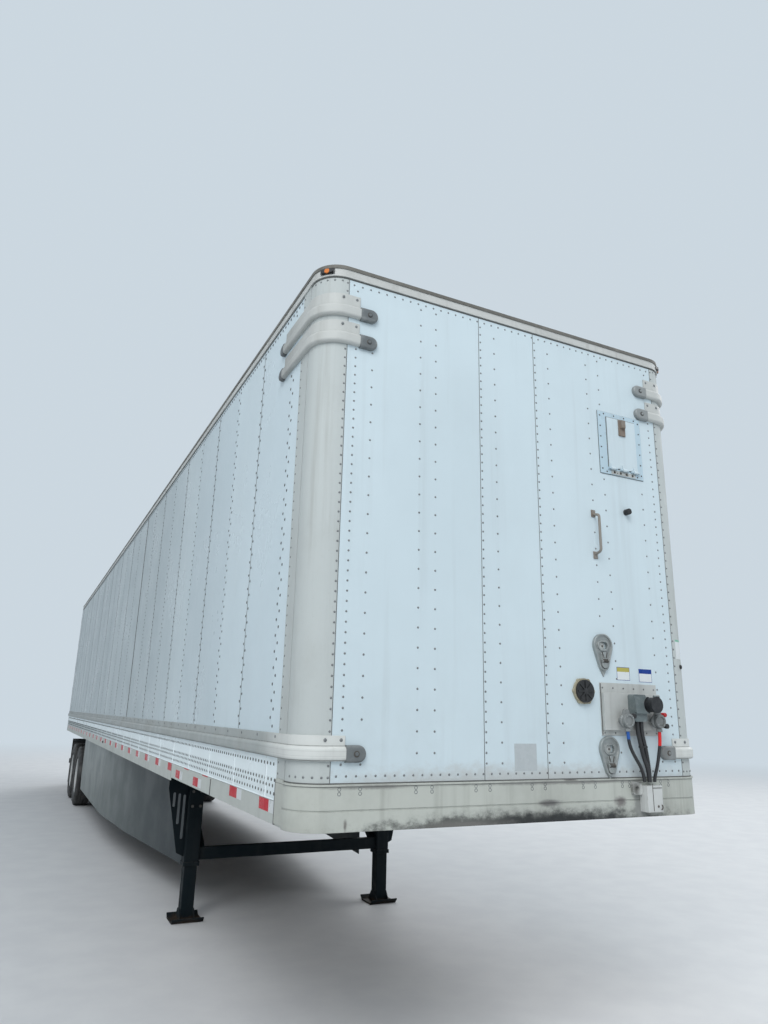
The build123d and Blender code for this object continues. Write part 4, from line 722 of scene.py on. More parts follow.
def painted_finishes(finish):
    """Every paint and metal of the trailer, by name."""
    groups = {"film": road_film_group(), "wear": edge_wear_group(), "ripple": ripple_group()}
    panel, bumper, dirt = tuple(finish.panel), tuple(finish.bumper), tuple(finish.dirt)
    grey_dirt = (0.22, 0.225, 0.215)
    rail_dirt = (0.25, 0.245, 0.22)
    worn_rail = (0.66, 0.67, 0.66)
    made = {}

    def paint(name, colour, *choices, **more):
        made[name] = painted(name, groups, colour, *choices, **more)

    # Panels, roof and doors
    paint(
        "nose_panel", panel, grey_dirt, (0.30, 0.46), (0.16, 0.10, 1.40, 1.95), coat=0.25,
        ripple=(0.406, 0.0, 0.010),
        marks=[((0.0, NOSE, RAIL_TOP), (1.5, 0.1, 0.10), (0.45, 0.48, 0.48))],
    )
    # The side sheets darken towards the rear: painted shade and reflection. Each bay between posts
    # has its own tone: painted reflection of sheets that tilt a little differently.
    paint(
        "side_panel", scaled(panel, 1.04), grey_dirt, (0.27, 0.35), (0.10, 0.0, 1.45, 2.6),
        specks=0.0, gloss=0.24, drift=1.6,
        ripple=(POST_PITCH, NOSE + FIRST_POST - SIDE, 0.013),
        bays=(NOSE + FIRST_POST, POST_PITCH),
        fade=(NOSE + 0.4, NOSE + 5.6, (0.375, 0.442, 0.462)),
        levels=[(RUB_LOW, 0.002, (0.75, 0.84, 0.87))],
    )
    paint(
        "vent_paint", (0.46, 0.60, 0.68), grey_dirt, (0.25, 0.4), (0.25, 0.25, 2.5, 4.0),
        coat=0.3, wear=(0.003, (0.30, 0.33, 0.35)),
    )
    paint(
        "roof_sheet", (0.44, 0.47, 0.48), (0.20, 0.20, 0.18), (0.55, 0.75), (0.5, 0.1, 4.0, 4.2),
        gloss=0.25, drift=2.0, ripple=(POST_PITCH, 0.1, 0.012),
    )
    paint(
        "door_panel", scaled(panel, 0.96), grey_dirt, (0.25, 0.4), (0.35, 0.25, 1.35, 2.2),
        coat=0.3,
    )
    # Posts and rails
    paint(
        "post_metal", tuple(finish.post), rail_dirt, (0.55, 0.72), (0.30, 0.35, 1.4, 4.4),
        gloss=0.22, wear=(0.004, (0.42, 0.43, 0.43)),
    )
    paint(
        "nose_rail", tuple(finish.rail), dirt, (0.5, 0.7), (0.30, 0.25, 1.2, 1.6),
        wear=(0.003, (0.26, 0.26, 0.25)),
        marks=[
            ((0.08, NOSE, 1.196), (1.15, 0.3, 0.080), (0.050, 0.054, 0.052)),
            ((0.02, NOSE, 1.196), (1.10, 0.3, 0.062), (0.016, 0.018, 0.018)),
            ((-0.40, NOSE, 1.203), (0.36, 0.2, 0.036), (0.14, 0.14, 0.13)),
            ((0.62, NOSE, 1.287), (0.050, 0.2, 0.034), (0.17, 0.16, 0.155)),
            ((0.13, NOSE, 1.290), (0.10, 0.2, 0.022), (0.14, 0.14, 0.135)),
            ((0.76, NOSE, 1.27), (0.06, 0.2, 0.12), (0.24, 0.25, 0.24)),
            ((0.27, NOSE, 1.405), (0.06, 0.2, 0.030), (0.10, 0.09, 0.085)),
            ((-1.036, NOSE, 1.225), (0.012, 0.2, 0.034), (0.16, 0.15, 0.14)),
            ((-0.90, NOSE, 1.392), (0.30, 0.2, 0.014), (0.24, 0.245, 0.23)),
            ((0.30, NOSE, 1.392), (0.80, 0.2, 0.014), (0.26, 0.265, 0.25)),
        ],
        # The dark line just under the rail's top paints the shadow along it.
        lines=[(1.3945, 0.0022, 0.75)],
    )
    paint(
        "top_rail", (0.52, 0.535, 0.52), (0.16, 0.15, 0.13), (0.4, 0.6), (0.3, 0.35, 4.0, 4.2),
    )
    paint(
        "top_bead", (0.115, 0.112, 0.100), (0.30, 0.29, 0.26), (0.5, 0.75),
        (0.6, 0.35, 4.0, 4.2),
    )
    # The bumper and rub rails darken past the nose corner, along the side: painted shade of the
    # side-facing part.
    paint(
        "bumper_rail", bumper, rail_dirt, (0.42, 0.6), (0.40, 0.30, 1.5, 4.4), gloss=0.3,
        wear=(0.004, worn_rail), fade=(NOSE + 0.16, NOSE + 0.60, (0.36, 0.375, 0.365)),
    )
    paint(
        "rub_rail", scaled(bumper, 1.24), (0.30, 0.295, 0.27), (0.42, 0.6),
        (0.34, 0.20, 1.5, 4.4), gloss=0.3, wear=(0.004, worn_rail),
        fade=(NOSE + 0.16, NOSE + 0.60, (0.33, 0.36, 0.355)),
        lines=[
            (RUB_LOW + BULGE + 0.002, 0.003, 0.55), (RUB_LOW + 0.023, 0.0016, 0.16),
            (RUB_LOW + 0.045, 0.0016, 0.16), (RUB_LOW + 0.004, 0.003, 0.75),
        ],
    )
    # The side rail and the white joint strips darken towards the rear: painted shade and
    # reflection, as on the side sheets.
    paint(
        "side_rail", (0.74, 0.825, 0.85), (0.28, 0.28, 0.265), (0.45, 0.65),
        (0.22, 0.10, 1.2, 1.4), specks=0.1, gloss=0.25,
        fade=(NOSE + 3.0, NOSE + 12.0, (0.44, 0.50, 0.51)),
        levels=[(1.309, 0.002, (0.47, 0.50, 0.475))], lines=[(1.309, 0.0035, 0.75)],
    )
    paint(
        "strip_white", (0.84, 0.92, 0.95), (0.30, 0.30, 0.28), (0.4, 0.6),
        (0.15, 0.05, 1.2, 1.4), specks=0.0, gloss=0.25,
        fade=(NOSE + 3.0, NOSE + 12.0, (0.56, 0.62, 0.63)),
    )
    # Skirts, underframe, legs and rims
    # The skirts' near black colour paints the shade under the trailer; towards the rear they turn
    # lighter, painted light where they are lit.
    paint(
        "skirt_sheet", (0.013, 0.022, 0.027), (0.060, 0.062, 0.058), (0.34, 0.46),
        (0.10, 0.04, 0.2, 1.5), specks=0.0, gloss=0.22, drift=2.0,
        ripple=(2 * POST_PITCH, 0.3, 0.014),
        fade=(NOSE + 3.4, NOSE + 9.5, (0.15, 0.175, 0.17)),
    )
    paint(
        "chassis_paint", tuple(finish.chassis), (0.10, 0.098, 0.090), (0.45, 0.7),
        (0.6, 0.35, 0.2, 1.3), wear=(0.005, (0.13, 0.125, 0.12)),
    )
    paint(
        "leg_paint", (0.004, 0.009, 0.012), (0.022, 0.023, 0.023), (0.50, 0.72),
        (0.4, 0.3, 0.1, 1.5), gloss=0.12, wear=(0.006, (0.07, 0.068, 0.065)),
        marks=[
            ((sign * 0.914, -4.477, 0.0), (0.20, 0.20, 0.05), (0.050, 0.034, 0.022))
            for _, sign in SIDES
        ],
    )
    paint(
        "rim_paint", (0.56, 0.58, 0.58), (0.14, 0.13, 0.105), (0.3, 0.5), (0.9, 0.2, 0.0, 1.0),
        coat=0.2, wear=(0.004, (0.20, 0.16, 0.12)),
    )
    # Castings and fittings; the caps on the kerb side of the nose are darker
    cast_dirt = (0.12, 0.12, 0.115)
    paint(
        "cast_grey", tuple(finish.cast), cast_dirt, (0.42, 0.6), (0.6, 0.3, 1.0, 4.5),
        metallic=0.2, wear=(0.005, (0.10, 0.10, 0.10)),
        marks=[
            ((-1.0, NOSE - 0.02, z), (0.10, 0.1, 0.07), (0.125, 0.14, 0.145))
            for z in cap_heights()
        ],
    )
    paint(
        "cap_dark", (0.085, 0.095, 0.10), cast_dirt, (0.42, 0.6), (0.5, 0.3, 1.0, 4.5),
        wear=(0.004, (0.30, 0.31, 0.31)),
    )
    paint(
        "hook_grey", (0.33, 0.355, 0.35), (0.16, 0.165, 0.16), (0.35, 0.5),
        (0.5, 0.3, 1.0, 2.6), metallic=0.5, wear=(0.006, (0.55, 0.57, 0.57)),
    )
    paint(
        "pan_grey", (0.49, 0.51, 0.495), (0.26, 0.26, 0.25), (0.35, 0.5),
        (0.40, 0.30, 1.2, 2.4), metallic=0.1, wear=(0.003, worn_rail),
    )
    paint(
        "galvanised", (0.34, 0.355, 0.355), (0.15, 0.145, 0.13), (0.32, 0.55),
        (0.5, 0.35, 1.0, 4.4), metallic=0.55, wear=(0.004, (0.50, 0.51, 0.51)),
    )
    paint(
        "bracket_metal", (0.60, 0.625, 0.615), (0.20, 0.195, 0.18), (0.35, 0.55),
        (0.4, 0.4, 1.1, 1.6), wear=(0.004, (0.16, 0.13, 0.10)),
        marks=[
            ((0.800, NOSE, 1.386), (0.10, 0.2, 0.018), (0.035, 0.035, 0.035)),
            ((0.72, NOSE, 1.35), (0.040, 0.2, 0.05), (0.14, 0.14, 0.13)),
        ],
    )
    paint(
        "rusty_steel", (0.26, 0.245, 0.22), (0.16, 0.075, 0.030), (0.5, 0.8),
        (1.0, 0.5, 1.0, 5.0), metallic=0.3, wear=(0.005, (0.16, 0.085, 0.04)),
    )
    # Rivets, bolts and seams
    paint(
        "rivet_head", (0.20, 0.215, 0.22), (0.10, 0.10, 0.095), (0.35, 0.55),
        (0.6, 0.3, 1.0, 5.0), metallic=0.4,
    )
    paint(
        "rivet_dark", (0.085, 0.095, 0.10), (0.16, 0.16, 0.15), (0.4, 0.6),
        (0.6, 0.3, 1.0, 5.0), gloss=0.3,
    )
    paint(
        "bolt_dark", (0.075, 0.075, 0.072), (0.16, 0.12, 0.085), (0.4, 0.6),
        (0.5, 0.3, 0.2, 5.0), metallic=0.5,
    )
    paint(
        "seam_line", (0.105, 0.110, 0.108), (0.22, 0.22, 0.21), (0.6, 0.8),
        (0.5, 0.3, 1.0, 5.0),
    )
    return made


def make_finishes(finish):
    """Every material of the trailer, by name."""
    made = painted_finishes(finish)
    for name, colour, cells in (
        ("tape_red", tuple(finish.tape_red), True), ("tape_white", (0.60, 0.63, 0.64), True),
        ("label_paper", (0.66, 0.70, 0.71), False), ("label_grey", (0.42, 0.46, 0.475), False),
        ("label_yellow", (0.42, 0.38, 0.10), False), ("label_blue", (0.012, 0.045, 0.24), False),
        ("label_green", (0.20, 0.46, 0.34), False),
    ):
        made[name] = tape(name, colour, cells)
    for name, colour, low, high in (
        ("rubber", (0.018, 0.019, 0.020), 0.6, 0.8),
        ("hose_black", (0.020, 0.021, 0.023), 0.32, 0.5),
        ("knob_red", (0.42, 0.010, 0.014), 0.3, 0.5),
    ):
        made[name] = rubber(name, colour, low, high)
    made["service_hose"] = sleeved("service_hose", (0.012, 0.085, 0.34), 1.616)
    made["emergency_hose"] = sleeved("emergency_hose", (0.62, 0.012, 0.012), 1.582)
    made["lens_red"] = lens("lens_red", (0.55, 0.010, 0.012))
    made["tyre_rubber"] = tyre_rubber()
    made["deck_wood"] = deck_wood()
    made["port"] = port()
    made["socket"] = socket_finish()
    made["marker_amber"] = marker_amber()
    return made


def tape(name, colour, cells):
    """Scuffed tape or a plain label; the tape's surface has small reflecting cells."""
    material, tree, shader = new_material(name, Specular_IOR_Level=0.2)
    scuff = patches(tree, (22.0, 22.0, 30.0), 5.0, 0.7, 0.60, 0.74, 0.0, 0.55)
    shade = blend_colour(tree, scuff, colour, scaled(colour, 0.5, 0.10))
    if cells:
        inputs = {"Vector": object_place(tree), "Scale": 260.0}
        mesh = node(tree, "ShaderNodeTexVoronoi", inputs, feature="DISTANCE_TO_EDGE")
        edge = span(tree, mesh.outputs["Distance"], 0.0, 0.12, 1.0, 0.0)
        edge = maths(tree, "MULTIPLY", edge, 0.4)
        shade = blend_colour(tree, edge, shade, scaled(colour, 0.75))
        bumped(tree, shader, mesh.outputs["Distance"], 0.0004, 0.3)
    return finished(material, shade, 0.25, 0.45)


def rubber(name, colour, low, high):
    """Rubber or moulded plastic with a pale bloom."""
    material, tree, shader = new_material(name)
    bloom = patches(tree, 18.0, 5.0, 0.65, 0.45, 0.75, 0.0, 0.5)
    shade = blend_colour(tree, bloom, colour, scaled(colour, 1.0, 0.035))
    bumped(tree, shader, stretched_noise(tree, 300.0, 2.0), 0.0006, 0.3)
    return finished(material, shade, low, high, 20.0)


def sleeved(name, colour, end):
    """A black hose whose upper end wears a coloured sleeve, down to a height."""
    material, tree, _ = new_material(name)
    sleeve = span(tree, object_parts(tree)["Z"], end - 0.002, end + 0.002)
    shade = blend_colour(tree, sleeve, (0.020, 0.021, 0.023), colour)
    worn = patches(tree, (40.0, 40.0, 60.0), 4.0, 0.7, 0.58, 0.75, 0.0, 0.4)
    shade = blend_colour(tree, worn, shade, (0.06, 0.06, 0.06))
    return finished(material, shade, 0.3, 0.5, 25.0)


def tyre_rubber():
    """Tyre rubber: dark and finely grained, with patches of road dust."""
    material, tree, shader = new_material("tyre_rubber")
    dust = patches(tree, 7.0, 6.0, 0.7, 0.40, 0.70, 0.05, 0.75)
    shade = blend_colour(tree, dust, (0.016, 0.017, 0.018), (0.075, 0.072, 0.066))
    bumped(tree, shader, stretched_noise(tree, 120.0, 3.0), 0.0012, 0.4)
    return finished(material, shade, 0.55, 0.85)


def lens(name, colour):
    """A lamp lens: coloured plastic with fine flutes."""
    material, tree, shader = new_material(name, Coat_Weight=0.6)
    part = object_parts(tree)
    flute = fluted(tree, maths(tree, "ADD", part["X"], part["Y"]), 620.0)
    shade = blend_colour(tree, flute, scaled(colour, 0.55), colour)
    bumped(tree, shader, flute, 0.0010, 0.6)
    return finished(material, shade, 0.12, 0.25)


def port():
    """The port: a tan ring outside the cap's radius, black plastic within it."""
    material, tree, _ = new_material("port")
    low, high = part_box("round_port")
    away = distance_from_axis(tree, (low.x + high.x) / 2, (low.z + high.z) / 2)
    ring = span(tree, away, 0.0620, 0.0626)
    worn = patches(tree, 40.0, 4.0, 0.7, 0.45, 0.7, 0.0, 0.6)
    tan = blend_colour(tree, worn, (0.34, 0.31, 0.22), (0.16, 0.145, 0.11))
    black = blend_colour(tree, worn, (0.016, 0.017, 0.018), (0.045, 0.045, 0.045))
    return finished(material, blend_colour(tree, ring, black, tan), 0.35, 0.6)


def socket_finish():
    """The socket: grey-green casting, with black plastic round the axis of its cover."""
    material, tree, _ = new_material("socket")
    near = span(tree, distance_from_axis(tree, *SOCKET_COVER), 0.0470, 0.0460)
    worn = patches(tree, 45.0, 4.0, 0.7, 0.45, 0.7, 0.0, 0.6)
    grey = blend_colour(tree, worn, (0.125, 0.155, 0.160), (0.20, 0.225, 0.225))
    black = blend_colour(tree, worn, (0.010, 0.011, 0.013), (0.035, 0.036, 0.038))
    return finished(material, blend_colour(tree, near, grey, black), 0.32, 0.5)


def marker_amber():
    """Marker lamps: an amber lens in the middle of each black housing.

    The corner lamps face outwards at 45 degrees, and the side lamps lie at the middle of the
    trailer. Each point's coordinates are taken without their signs, so one lamp stands for all.
    """
    material, tree, _ = new_material("marker_amber", Coat_Weight=0.4)
    folded = vectors(tree, "ABSOLUTE", object_place(tree))[0]
    reach = (CORNER + TOP_RAIL_STAND + MARKER_STAND) / 2 ** 0.5
    distances = [
        vectors(tree, "DISTANCE", folded, lamp)["Value"] for lamp in (
            (SIDE - CORNER + reach, reach - NOSE - CORNER, WALL_TOP + 0.028),
            (SIDE + MARKER_STAND, 0.0, 1.255),
        )
    ]
    near = span(tree, maths(tree, "MINIMUM", *distances), 0.0150, 0.0142)
    flute = fluted(tree, object_parts(tree)["Z"], 900.0)
    amber = blend_colour(tree, flute, (0.42, 0.10, 0.008), (0.72, 0.20, 0.015))
    shade = blend_colour(tree, near, (0.015, 0.015, 0.016), amber)
    return finished(material, shade, 0.2, 0.4)


def deck_wood():
    """Laminated hardwood deck: boards side by side along the box, each its own tone, with grain."""
    material, tree, shader = new_material("deck_wood")
    board = maths(tree, "DIVIDE", object_parts(tree)["X"], 0.305)
    number = maths(tree, "FLOOR", board)
    tone = node(tree, "ShaderNodeTexWhiteNoise", {"W": number}, noise_dimensions="1D")
    grain = patches(tree, (90.0, 2.5, 90.0), 6.0, 0.65, 0.35, 0.70)
    shade = blend_colour(tree, grain, (0.33, 0.20, 0.105), (0.19, 0.105, 0.052))
    paler = maths(tree, "MULTIPLY", tone.outputs["Value"], 0.45)
    shade = blend_colour(tree, paler, shade, (0.40, 0.27, 0.15))
    away = maths(tree, "ABSOLUTE", maths(tree, "SUBTRACT", maths(tree, "FRACT", board), 0.5))
    shade = blend_colour(tree, span(tree, away, 0.488, 0.496), shade, (0.03, 0.022, 0.016))
    bumped(tree, shader, grain, 0.001, 0.3)
    return finished(material, shade, 0.45, 0.7)


NODE_FINISH = {
    "nose_panel": ("front_wall", "vent_door"),
    "vent_paint": ("vent_frame",),
    "side_panel": ("side_wall_kerb", "side_wall_road"),
    "roof_sheet": ("roof",),
    "door_panel": ("rear_door_kerb", "rear_door_road"),
    "post_metal": ("corner_posts",),
    "nose_rail": ("front_bottom_rail",),
    "top_rail": ("front_top_rail", "top_rails"),
    "bumper_rail": ("corner_rails",),
    "rub_rail": ("rub_rails",),
    "side_rail": ("side_rails",),
    "skirt_sheet": ("side_skirts",),
    "chassis_paint": (
        "crossmembers", "skirt_struts", "slider_frame", "slider_rails", "spring_hangers",
        "leaf_springs", "axles", "brake_chambers", "impact_guard", "upper_coupler",
    ),
    "leg_paint": ("landing_legs", "landing_feet", "landing_braces", "landing_crank"),
    "cast_grey": ("rail_end_caps", "glad_hands"),
    "socket": ("electrical_socket",),
    "hook_grey": ("pear_hooks",),
    "pan_grey": ("service_panel",),
    "galvanised": ("door_hardware_kerb", "door_hardware_road", "rear_frame"),
    "bracket_metal": ("line_bracket",),
    "rusty_steel": ("grab_handle", "vent_latch"),
    "rubber": ("mud_flaps", "rubber_bumper"),
    "port": ("round_port",),
    "rim_paint": tuple(f"rims_{row}_{side}" for row in AXLES for side, _ in SIDES),
    "tyre_rubber": tuple(f"tyres_{row}_{side}" for row in AXLES for side, _ in SIDES),
    "marker_amber": ("marker_lamps",),
    "lens_red": ("tail_lamps",),
    "deck_wood": ("floor",),
}


class TRAILER_OT_finishes(bpy.types.Operator):
    """Make the materials and give each piece of the frame its own"""

    bl_idname = "trailer.finishes"
    bl_label = "Finishes"

    def execute(self, context):
        FINISHES.update(make_finishes(context.scene.trailer_finish))
        for finish_name, names in NODE_FINISH.items():
            for name in names:
                for slot in nodes[name].material_slots:
                    slot.material = FINISHES[finish_name]
        return {"FINISHED"}


# Camera: place, turns and focal length in pixels of the 768 by 1024 frame
CAMERA_PLACE = (-2.453, -11.326, 1.722)
CAMERA_YAW = radians(25.93)
CAMERA_PITCH = radians(15.65)
CAMERA_ROLL = radians(1.33)
FOCAL_PIXELS = 720.6
IMAGE_HEIGHT = 1024
SENSOR = 36.0
# Colours of what lies behind the trailer and of the light from all round it
BACKDROP = (0.60, 0.68, 0.745)
AMBIENT = (0.80, 0.86, 0.92)
AMBIENT_STRENGTH = 0.62
# Each lamp's name, place, target, size and power: one high over the nose, the others over the
# road side and the rear
LAMPS = (
    ("key", (-9.0, -19.0, 15.0), (0.0, -4.0, 1.5), 12.0, 2600.0),
    ("fill", (16.0, -6.0, 14.0), (0.0, 0.0, 1.5), 14.0, 1500.0),
    ("rear", (10.0, 22.0, 15.0), (0.0, 3.0, 1.5), 14.0, 1900.0),
)
# Radii of the floor's rings, and the number of points on each
FLOOR_RINGS = (8.0, 16.0, 42.0, 150.0, 320.0)
FLOOR_SIDES = 64


def floor_material():
    """Pale floor that fades, far from the object, into the backdrop's own colour."""
    material, tree, shader = new_material("studio_floor", Roughness=0.75)
    far = vectors(tree, "LENGTH", object_place(tree))["Value"]
    grain = patches(tree, 3.0, 5.0, 0.55, 0.3, 0.7)
    shade = blend_colour(tree, grain, (0.60, 0.615, 0.63), (0.64, 0.655, 0.665))
    tree.links.new(shade, shader.inputs["Base Color"])
    glow = node(tree, "ShaderNodeEmission", {"Color": (*BACKDROP, 1.0), "Strength": 1.0})
    fade = span(tree, far, 12.0, 30.0)
    mix = node(
        tree, "ShaderNodeMixShader", {0: fade, 1: shader.outputs[0], 2: glow.outputs[0]}
    )
    tree.links.new(mix.outputs[0], tree.nodes["Material Output"].inputs["Surface"])
    return material


class TRAILER_OT_stage(bpy.types.Operator):
    """Set the camera, the floor, the lamps and the backdrop"""

    bl_idname = "trailer.stage"
    bl_label = "Stage"

    def execute(self, context):
        scene = context.scene
        scene.view_settings.view_transform = "Standard"
        ahead = Vector((
            sin(CAMERA_YAW) * cos(CAMERA_PITCH), cos(CAMERA_YAW) * cos(CAMERA_PITCH),
            sin(CAMERA_PITCH),
        ))
        level = Vector((cos(CAMERA_YAW), -sin(CAMERA_YAW), 0.0))
        above = level.cross(ahead)
        right = cos(CAMERA_ROLL) * level + sin(CAMERA_ROLL) * above
        up = -sin(CAMERA_ROLL) * level + cos(CAMERA_ROLL) * above
        data = bpy.data.cameras.new("camera")
        data.sensor_width = SENSOR
        data.lens = FOCAL_PIXELS / IMAGE_HEIGHT * SENSOR
        data.clip_end = 400.0
        camera = bpy.data.objects.new("camera", data)
        turn = Matrix((right, up, -ahead)).transposed().to_4x4()
        camera.matrix_world = Matrix.Translation(CAMERA_PLACE) @ turn
        scene.collection.objects.link(camera)
        scene.camera = camera
        self.add_floor(scene)
        self.add_lamps(scene)
        self.add_world(scene)
        return {"FINISHED"}

    def add_floor(self, scene):
        """A round floor: points r (cos a, sin a) on rings that widen outwards."""
        radii = np.array(FLOOR_RINGS)[:, None]
        angle = np.arange(FLOOR_SIDES) * 2 * pi / FLOOR_SIDES
        points = points_at(radii * np.cos(angle), radii * np.sin(angle), 0.0)
        index = np.arange(points.size // 3).reshape(len(radii), FLOOR_SIDES)
        turn = np.roll(index, -1, axis=1)
        quads = np.stack([index[:-1], index[1:], turn[1:], turn[:-1]], axis=-1)
        mesh = bpy.data.meshes.new("studio_floor")
        faces = quads.reshape(-1, 4).tolist() + [index[0].tolist()]
        mesh.from_pydata(points.reshape(-1, 3).tolist(), [], faces)
        floor = bpy.data.objects.new("studio_floor", mesh)
        mesh.materials.append(floor_material())
        scene.collection.objects.link(floor)

    def add_lamps(self, scene):
        """Large soft lamps, each turned towards its target."""
        for name, place, target, size, power in LAMPS:
            data = bpy.data.lights.new(name, "AREA")
            data.size = size
            data.energy = power
            lamp = bpy.data.objects.new(name, data)
            lamp.location = place
            way = Vector(target) - Vector(place)
            lamp.rotation_euler = way.to_track_quat("-Z", "Y").to_euler()
            scene.collection.objects.link(lamp)

    def add_world(self, scene):
        """Ambient light, with the plain backdrop for what the camera and mirrors see."""
        world = bpy.data.worlds.new("studio")
        world.use_nodes = True
        scene.world = world
        tree = world.node_tree
        output = tree.nodes["World Output"]
        light = tree.nodes["Background"]
        light.inputs["Color"].default_value = (*AMBIENT, 1.0)
        light.inputs["Strength"].default_value = AMBIENT_STRENGTH
        colour = {"Color": (*BACKDROP, 1.0), "Strength": 1.0}
        seen = node(tree, "ShaderNodeBackground", colour)
        path = node(tree, "ShaderNodeLightPath").outputs
        clear = maths(tree, "MAXIMUM", path["Is Camera Ray"], path["Is Glossy Ray"])
        clear = maths(tree, "MAXIMUM", clear, path["Is Transmission Ray"])
        shares = {0: clear, 1: light.outputs[0], 2: seen.outputs[0]}
        mix = node(tree, "ShaderNodeMixShader", shares)
        tree.links.new(mix.outputs[0], output.inputs["Surface"])


# Y of the hoses under the air couplings, of the harness under the socket, and of the bracket's
# holes
HOSE_Y = NOSE - 0.073
SOCKET_LINE_Y = NOSE - 0.050
LINE_END_Y = NOSE - 0.035
# The tie round both cables of the harness: its height and its distance from their middles
TIE_Z = 1.575
TIE_REACH = 0.0134
# Each line's radius, length, finish and the points of its route from its fitting to the bracket
LINES = {
    "service_line": (0.0095, 0.334, "service_hose", (
        (0.642, HOSE_Y, 1.658), (0.642, HOSE_Y, 1.606), (0.664, HOSE_Y + 0.003, 1.555),
        (0.704, HOSE_Y + 0.010, 1.505), (0.742, HOSE_Y + 0.020, 1.464),
        (0.768, LINE_END_Y - 0.006, 1.425), (0.776, LINE_END_Y - 0.002, 1.396),
        (0.776, LINE_END_Y - 0.002, BRACKET_TOP),
    )),
    "harness_cable": (0.012, 0.353, "hose_black", (
        (0.738, SOCKET_LINE_Y, SOCKET_LOW), (0.738, SOCKET_LINE_Y, 1.655),
        (0.750, SOCKET_LINE_Y - 0.004, 1.590), (0.768, SOCKET_LINE_Y, 1.520),
        (0.792, LINE_END_Y - 0.018, 1.460), (0.803, LINE_END_Y - 0.014, 1.414),
        (0.803, LINE_END_Y - 0.014, BRACKET_TOP),
    )),
    "harness_conduit": (0.012, 0.354, "hose_black", (
        (0.768, SOCKET_LINE_Y, SOCKET_LOW), (0.768, SOCKET_LINE_Y, 1.650),
        (0.778, SOCKET_LINE_Y - 0.005, 1.590), (0.796, SOCKET_LINE_Y, 1.520),
        (0.820, LINE_END_Y + 0.002, 1.455), (0.827, LINE_END_Y + 0.009, 1.405),
        (0.827, LINE_END_Y + 0.009, BRACKET_TOP),
    )),
    "emergency_line": (0.0095, 0.2952, "emergency_hose", (
        (0.882, HOSE_Y, 1.658), (0.882, HOSE_Y, 1.605), (0.870, HOSE_Y + 0.004, 1.540),
        (0.858, HOSE_Y + 0.010, 1.475), (0.846, LINE_END_Y - 0.014, 1.415),
        (0.844, LINE_END_Y - 0.012, 1.392), (0.844, LINE_END_Y - 0.012, BRACKET_TOP),
    )),
}


def route_points(run):
    """Points along a curve's own line, read from the curve without its thickness."""
    thickness, run.data.bevel_depth = run.data.bevel_depth, 0.0
    mesh = bpy.data.meshes.new_from_object(run)
    run.data.bevel_depth = thickness
    points = np.zeros(3 * len(mesh.vertices))
    mesh.vertices.foreach_get("co", points)
    bpy.data.meshes.remove(mesh)
    return points.reshape(-1, 3)


class TRAILER_OT_lines(bpy.types.Operator):
    """Run the air lines and the harness from their fittings down into the bracket"""

    bl_idname = "trailer.lines"
    bl_label = "Air lines and harness"

    def execute(self, context):
        runs = {}
        for name, (radius, _, finish_name, route) in LINES.items():
            data = bpy.data.curves.new(f"{name}_run", "CURVE")
            data.dimensions = "3D"
            data.resolution_u = 12
            data.bevel_depth = radius
            data.bevel_resolution = 4
            data.use_fill_caps = True
            spline = data.splines.new("NURBS")
            spline.points.add(len(route) - 1)
            for point, place in zip(spline.points, route):
                point.co = (*place, 1.0)
            spline.order_u = 3
            spline.use_endpoint_u = True
            run = bpy.data.objects.new(f"{name}_run", data)
            context.scene.collection.objects.link(run)
            data.materials.append(FINISHES[finish_name])
            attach(run, "trailer")
            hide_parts(name)
            runs[name] = run
        tie = self.tie(runs["harness_cable"], runs["harness_conduit"])
        return {"FINISHED"}

    def tie(self, first, second):
        """A strap round both cables: a section carried round two half circles and two flats."""
        middles = []
        for run in (first, second):
            points = route_points(run)
            middles.append(points[np.argmin(np.abs(points[:, 2] - TIE_Z))])
        middles = np.array(middles)
        middles[:, 2] = TIE_Z
        across = middles[1] - middles[0]
        across /= np.linalg.norm(across)
        level = np.cross(UP, across)
        angle = np.linspace(-pi / 2, pi / 2, 13)
        turn = np.cos(angle)[:, None] * across + np.sin(angle)[:, None] * level
        path = np.concatenate([middles[1] + TIE_REACH * turn, middles[0] - TIE_REACH * turn])
        strap = [(-0.0010, -0.005), (0.0010, -0.005), (0.0010, 0.005), (-0.0010, 0.005)]
        loop = carried(strap, path, closed=True)
        return piece("harness_tie", loop, "rubber")


# X of each column of rivets on the nose, and its step: 1, a rivet at each place of the pitch, by
# the seams and the corner posts, or 2, one at every other place
NOSE_COLUMNS = (
    (-1.066, 1), (-0.966, 2), (-0.665, 2), (-0.565, 2), (-0.258, 1), (-0.160, 2),
    (0.144, 1), (0.244, 2), (0.552, 2), (0.653, 2), (0.966, 2), (1.066, 1),
)


def nose_columns(pitch):
    """Rivet places on the nose as x, z: its columns, and a row along its top and its foot."""
    low, high = RAIL_TOP + 0.035, WALL_TOP - 0.033
    places = []
    for x, step in NOSE_COLUMNS:
        shift = pitch if step == 2 and int(round(x * 1000)) % 2 else 0.0
        for z in np.arange(low + pitch + shift, high - 0.6 * pitch, step * pitch):
            places.append((x, z))
    for x in spaced(-POST_EDGE + 0.03, POST_EDGE - 0.03, pitch):
        places += [(x, high), (x, low)]
    return np.array(places)


def clear_of(places, margin, *names):
    """Leave out the places on the nose that lie behind the named pieces."""
    keep = np.ones(len(places), bool)
    for name in names:
        low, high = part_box(name)
        inside = (places[:, 0] > low.x - margin) & (places[:, 0] < high.x + margin)
        inside &= (places[:, 1] > low.z - margin) & (places[:, 1] < high.z + margin)
        keep &= ~inside
    return places[keep]


def clear_of_hooks(places):
    """Leave out the places behind the pear hooks, whose middles lie below their discs."""
    for x, z, _ in HOOKS:
        beside = np.abs(places[:, 0] - x) > 0.075
        beyond = np.abs(places[:, 1] - (z - HOOK_DROP)) > 0.14
        places = places[beside | beyond]
    return places


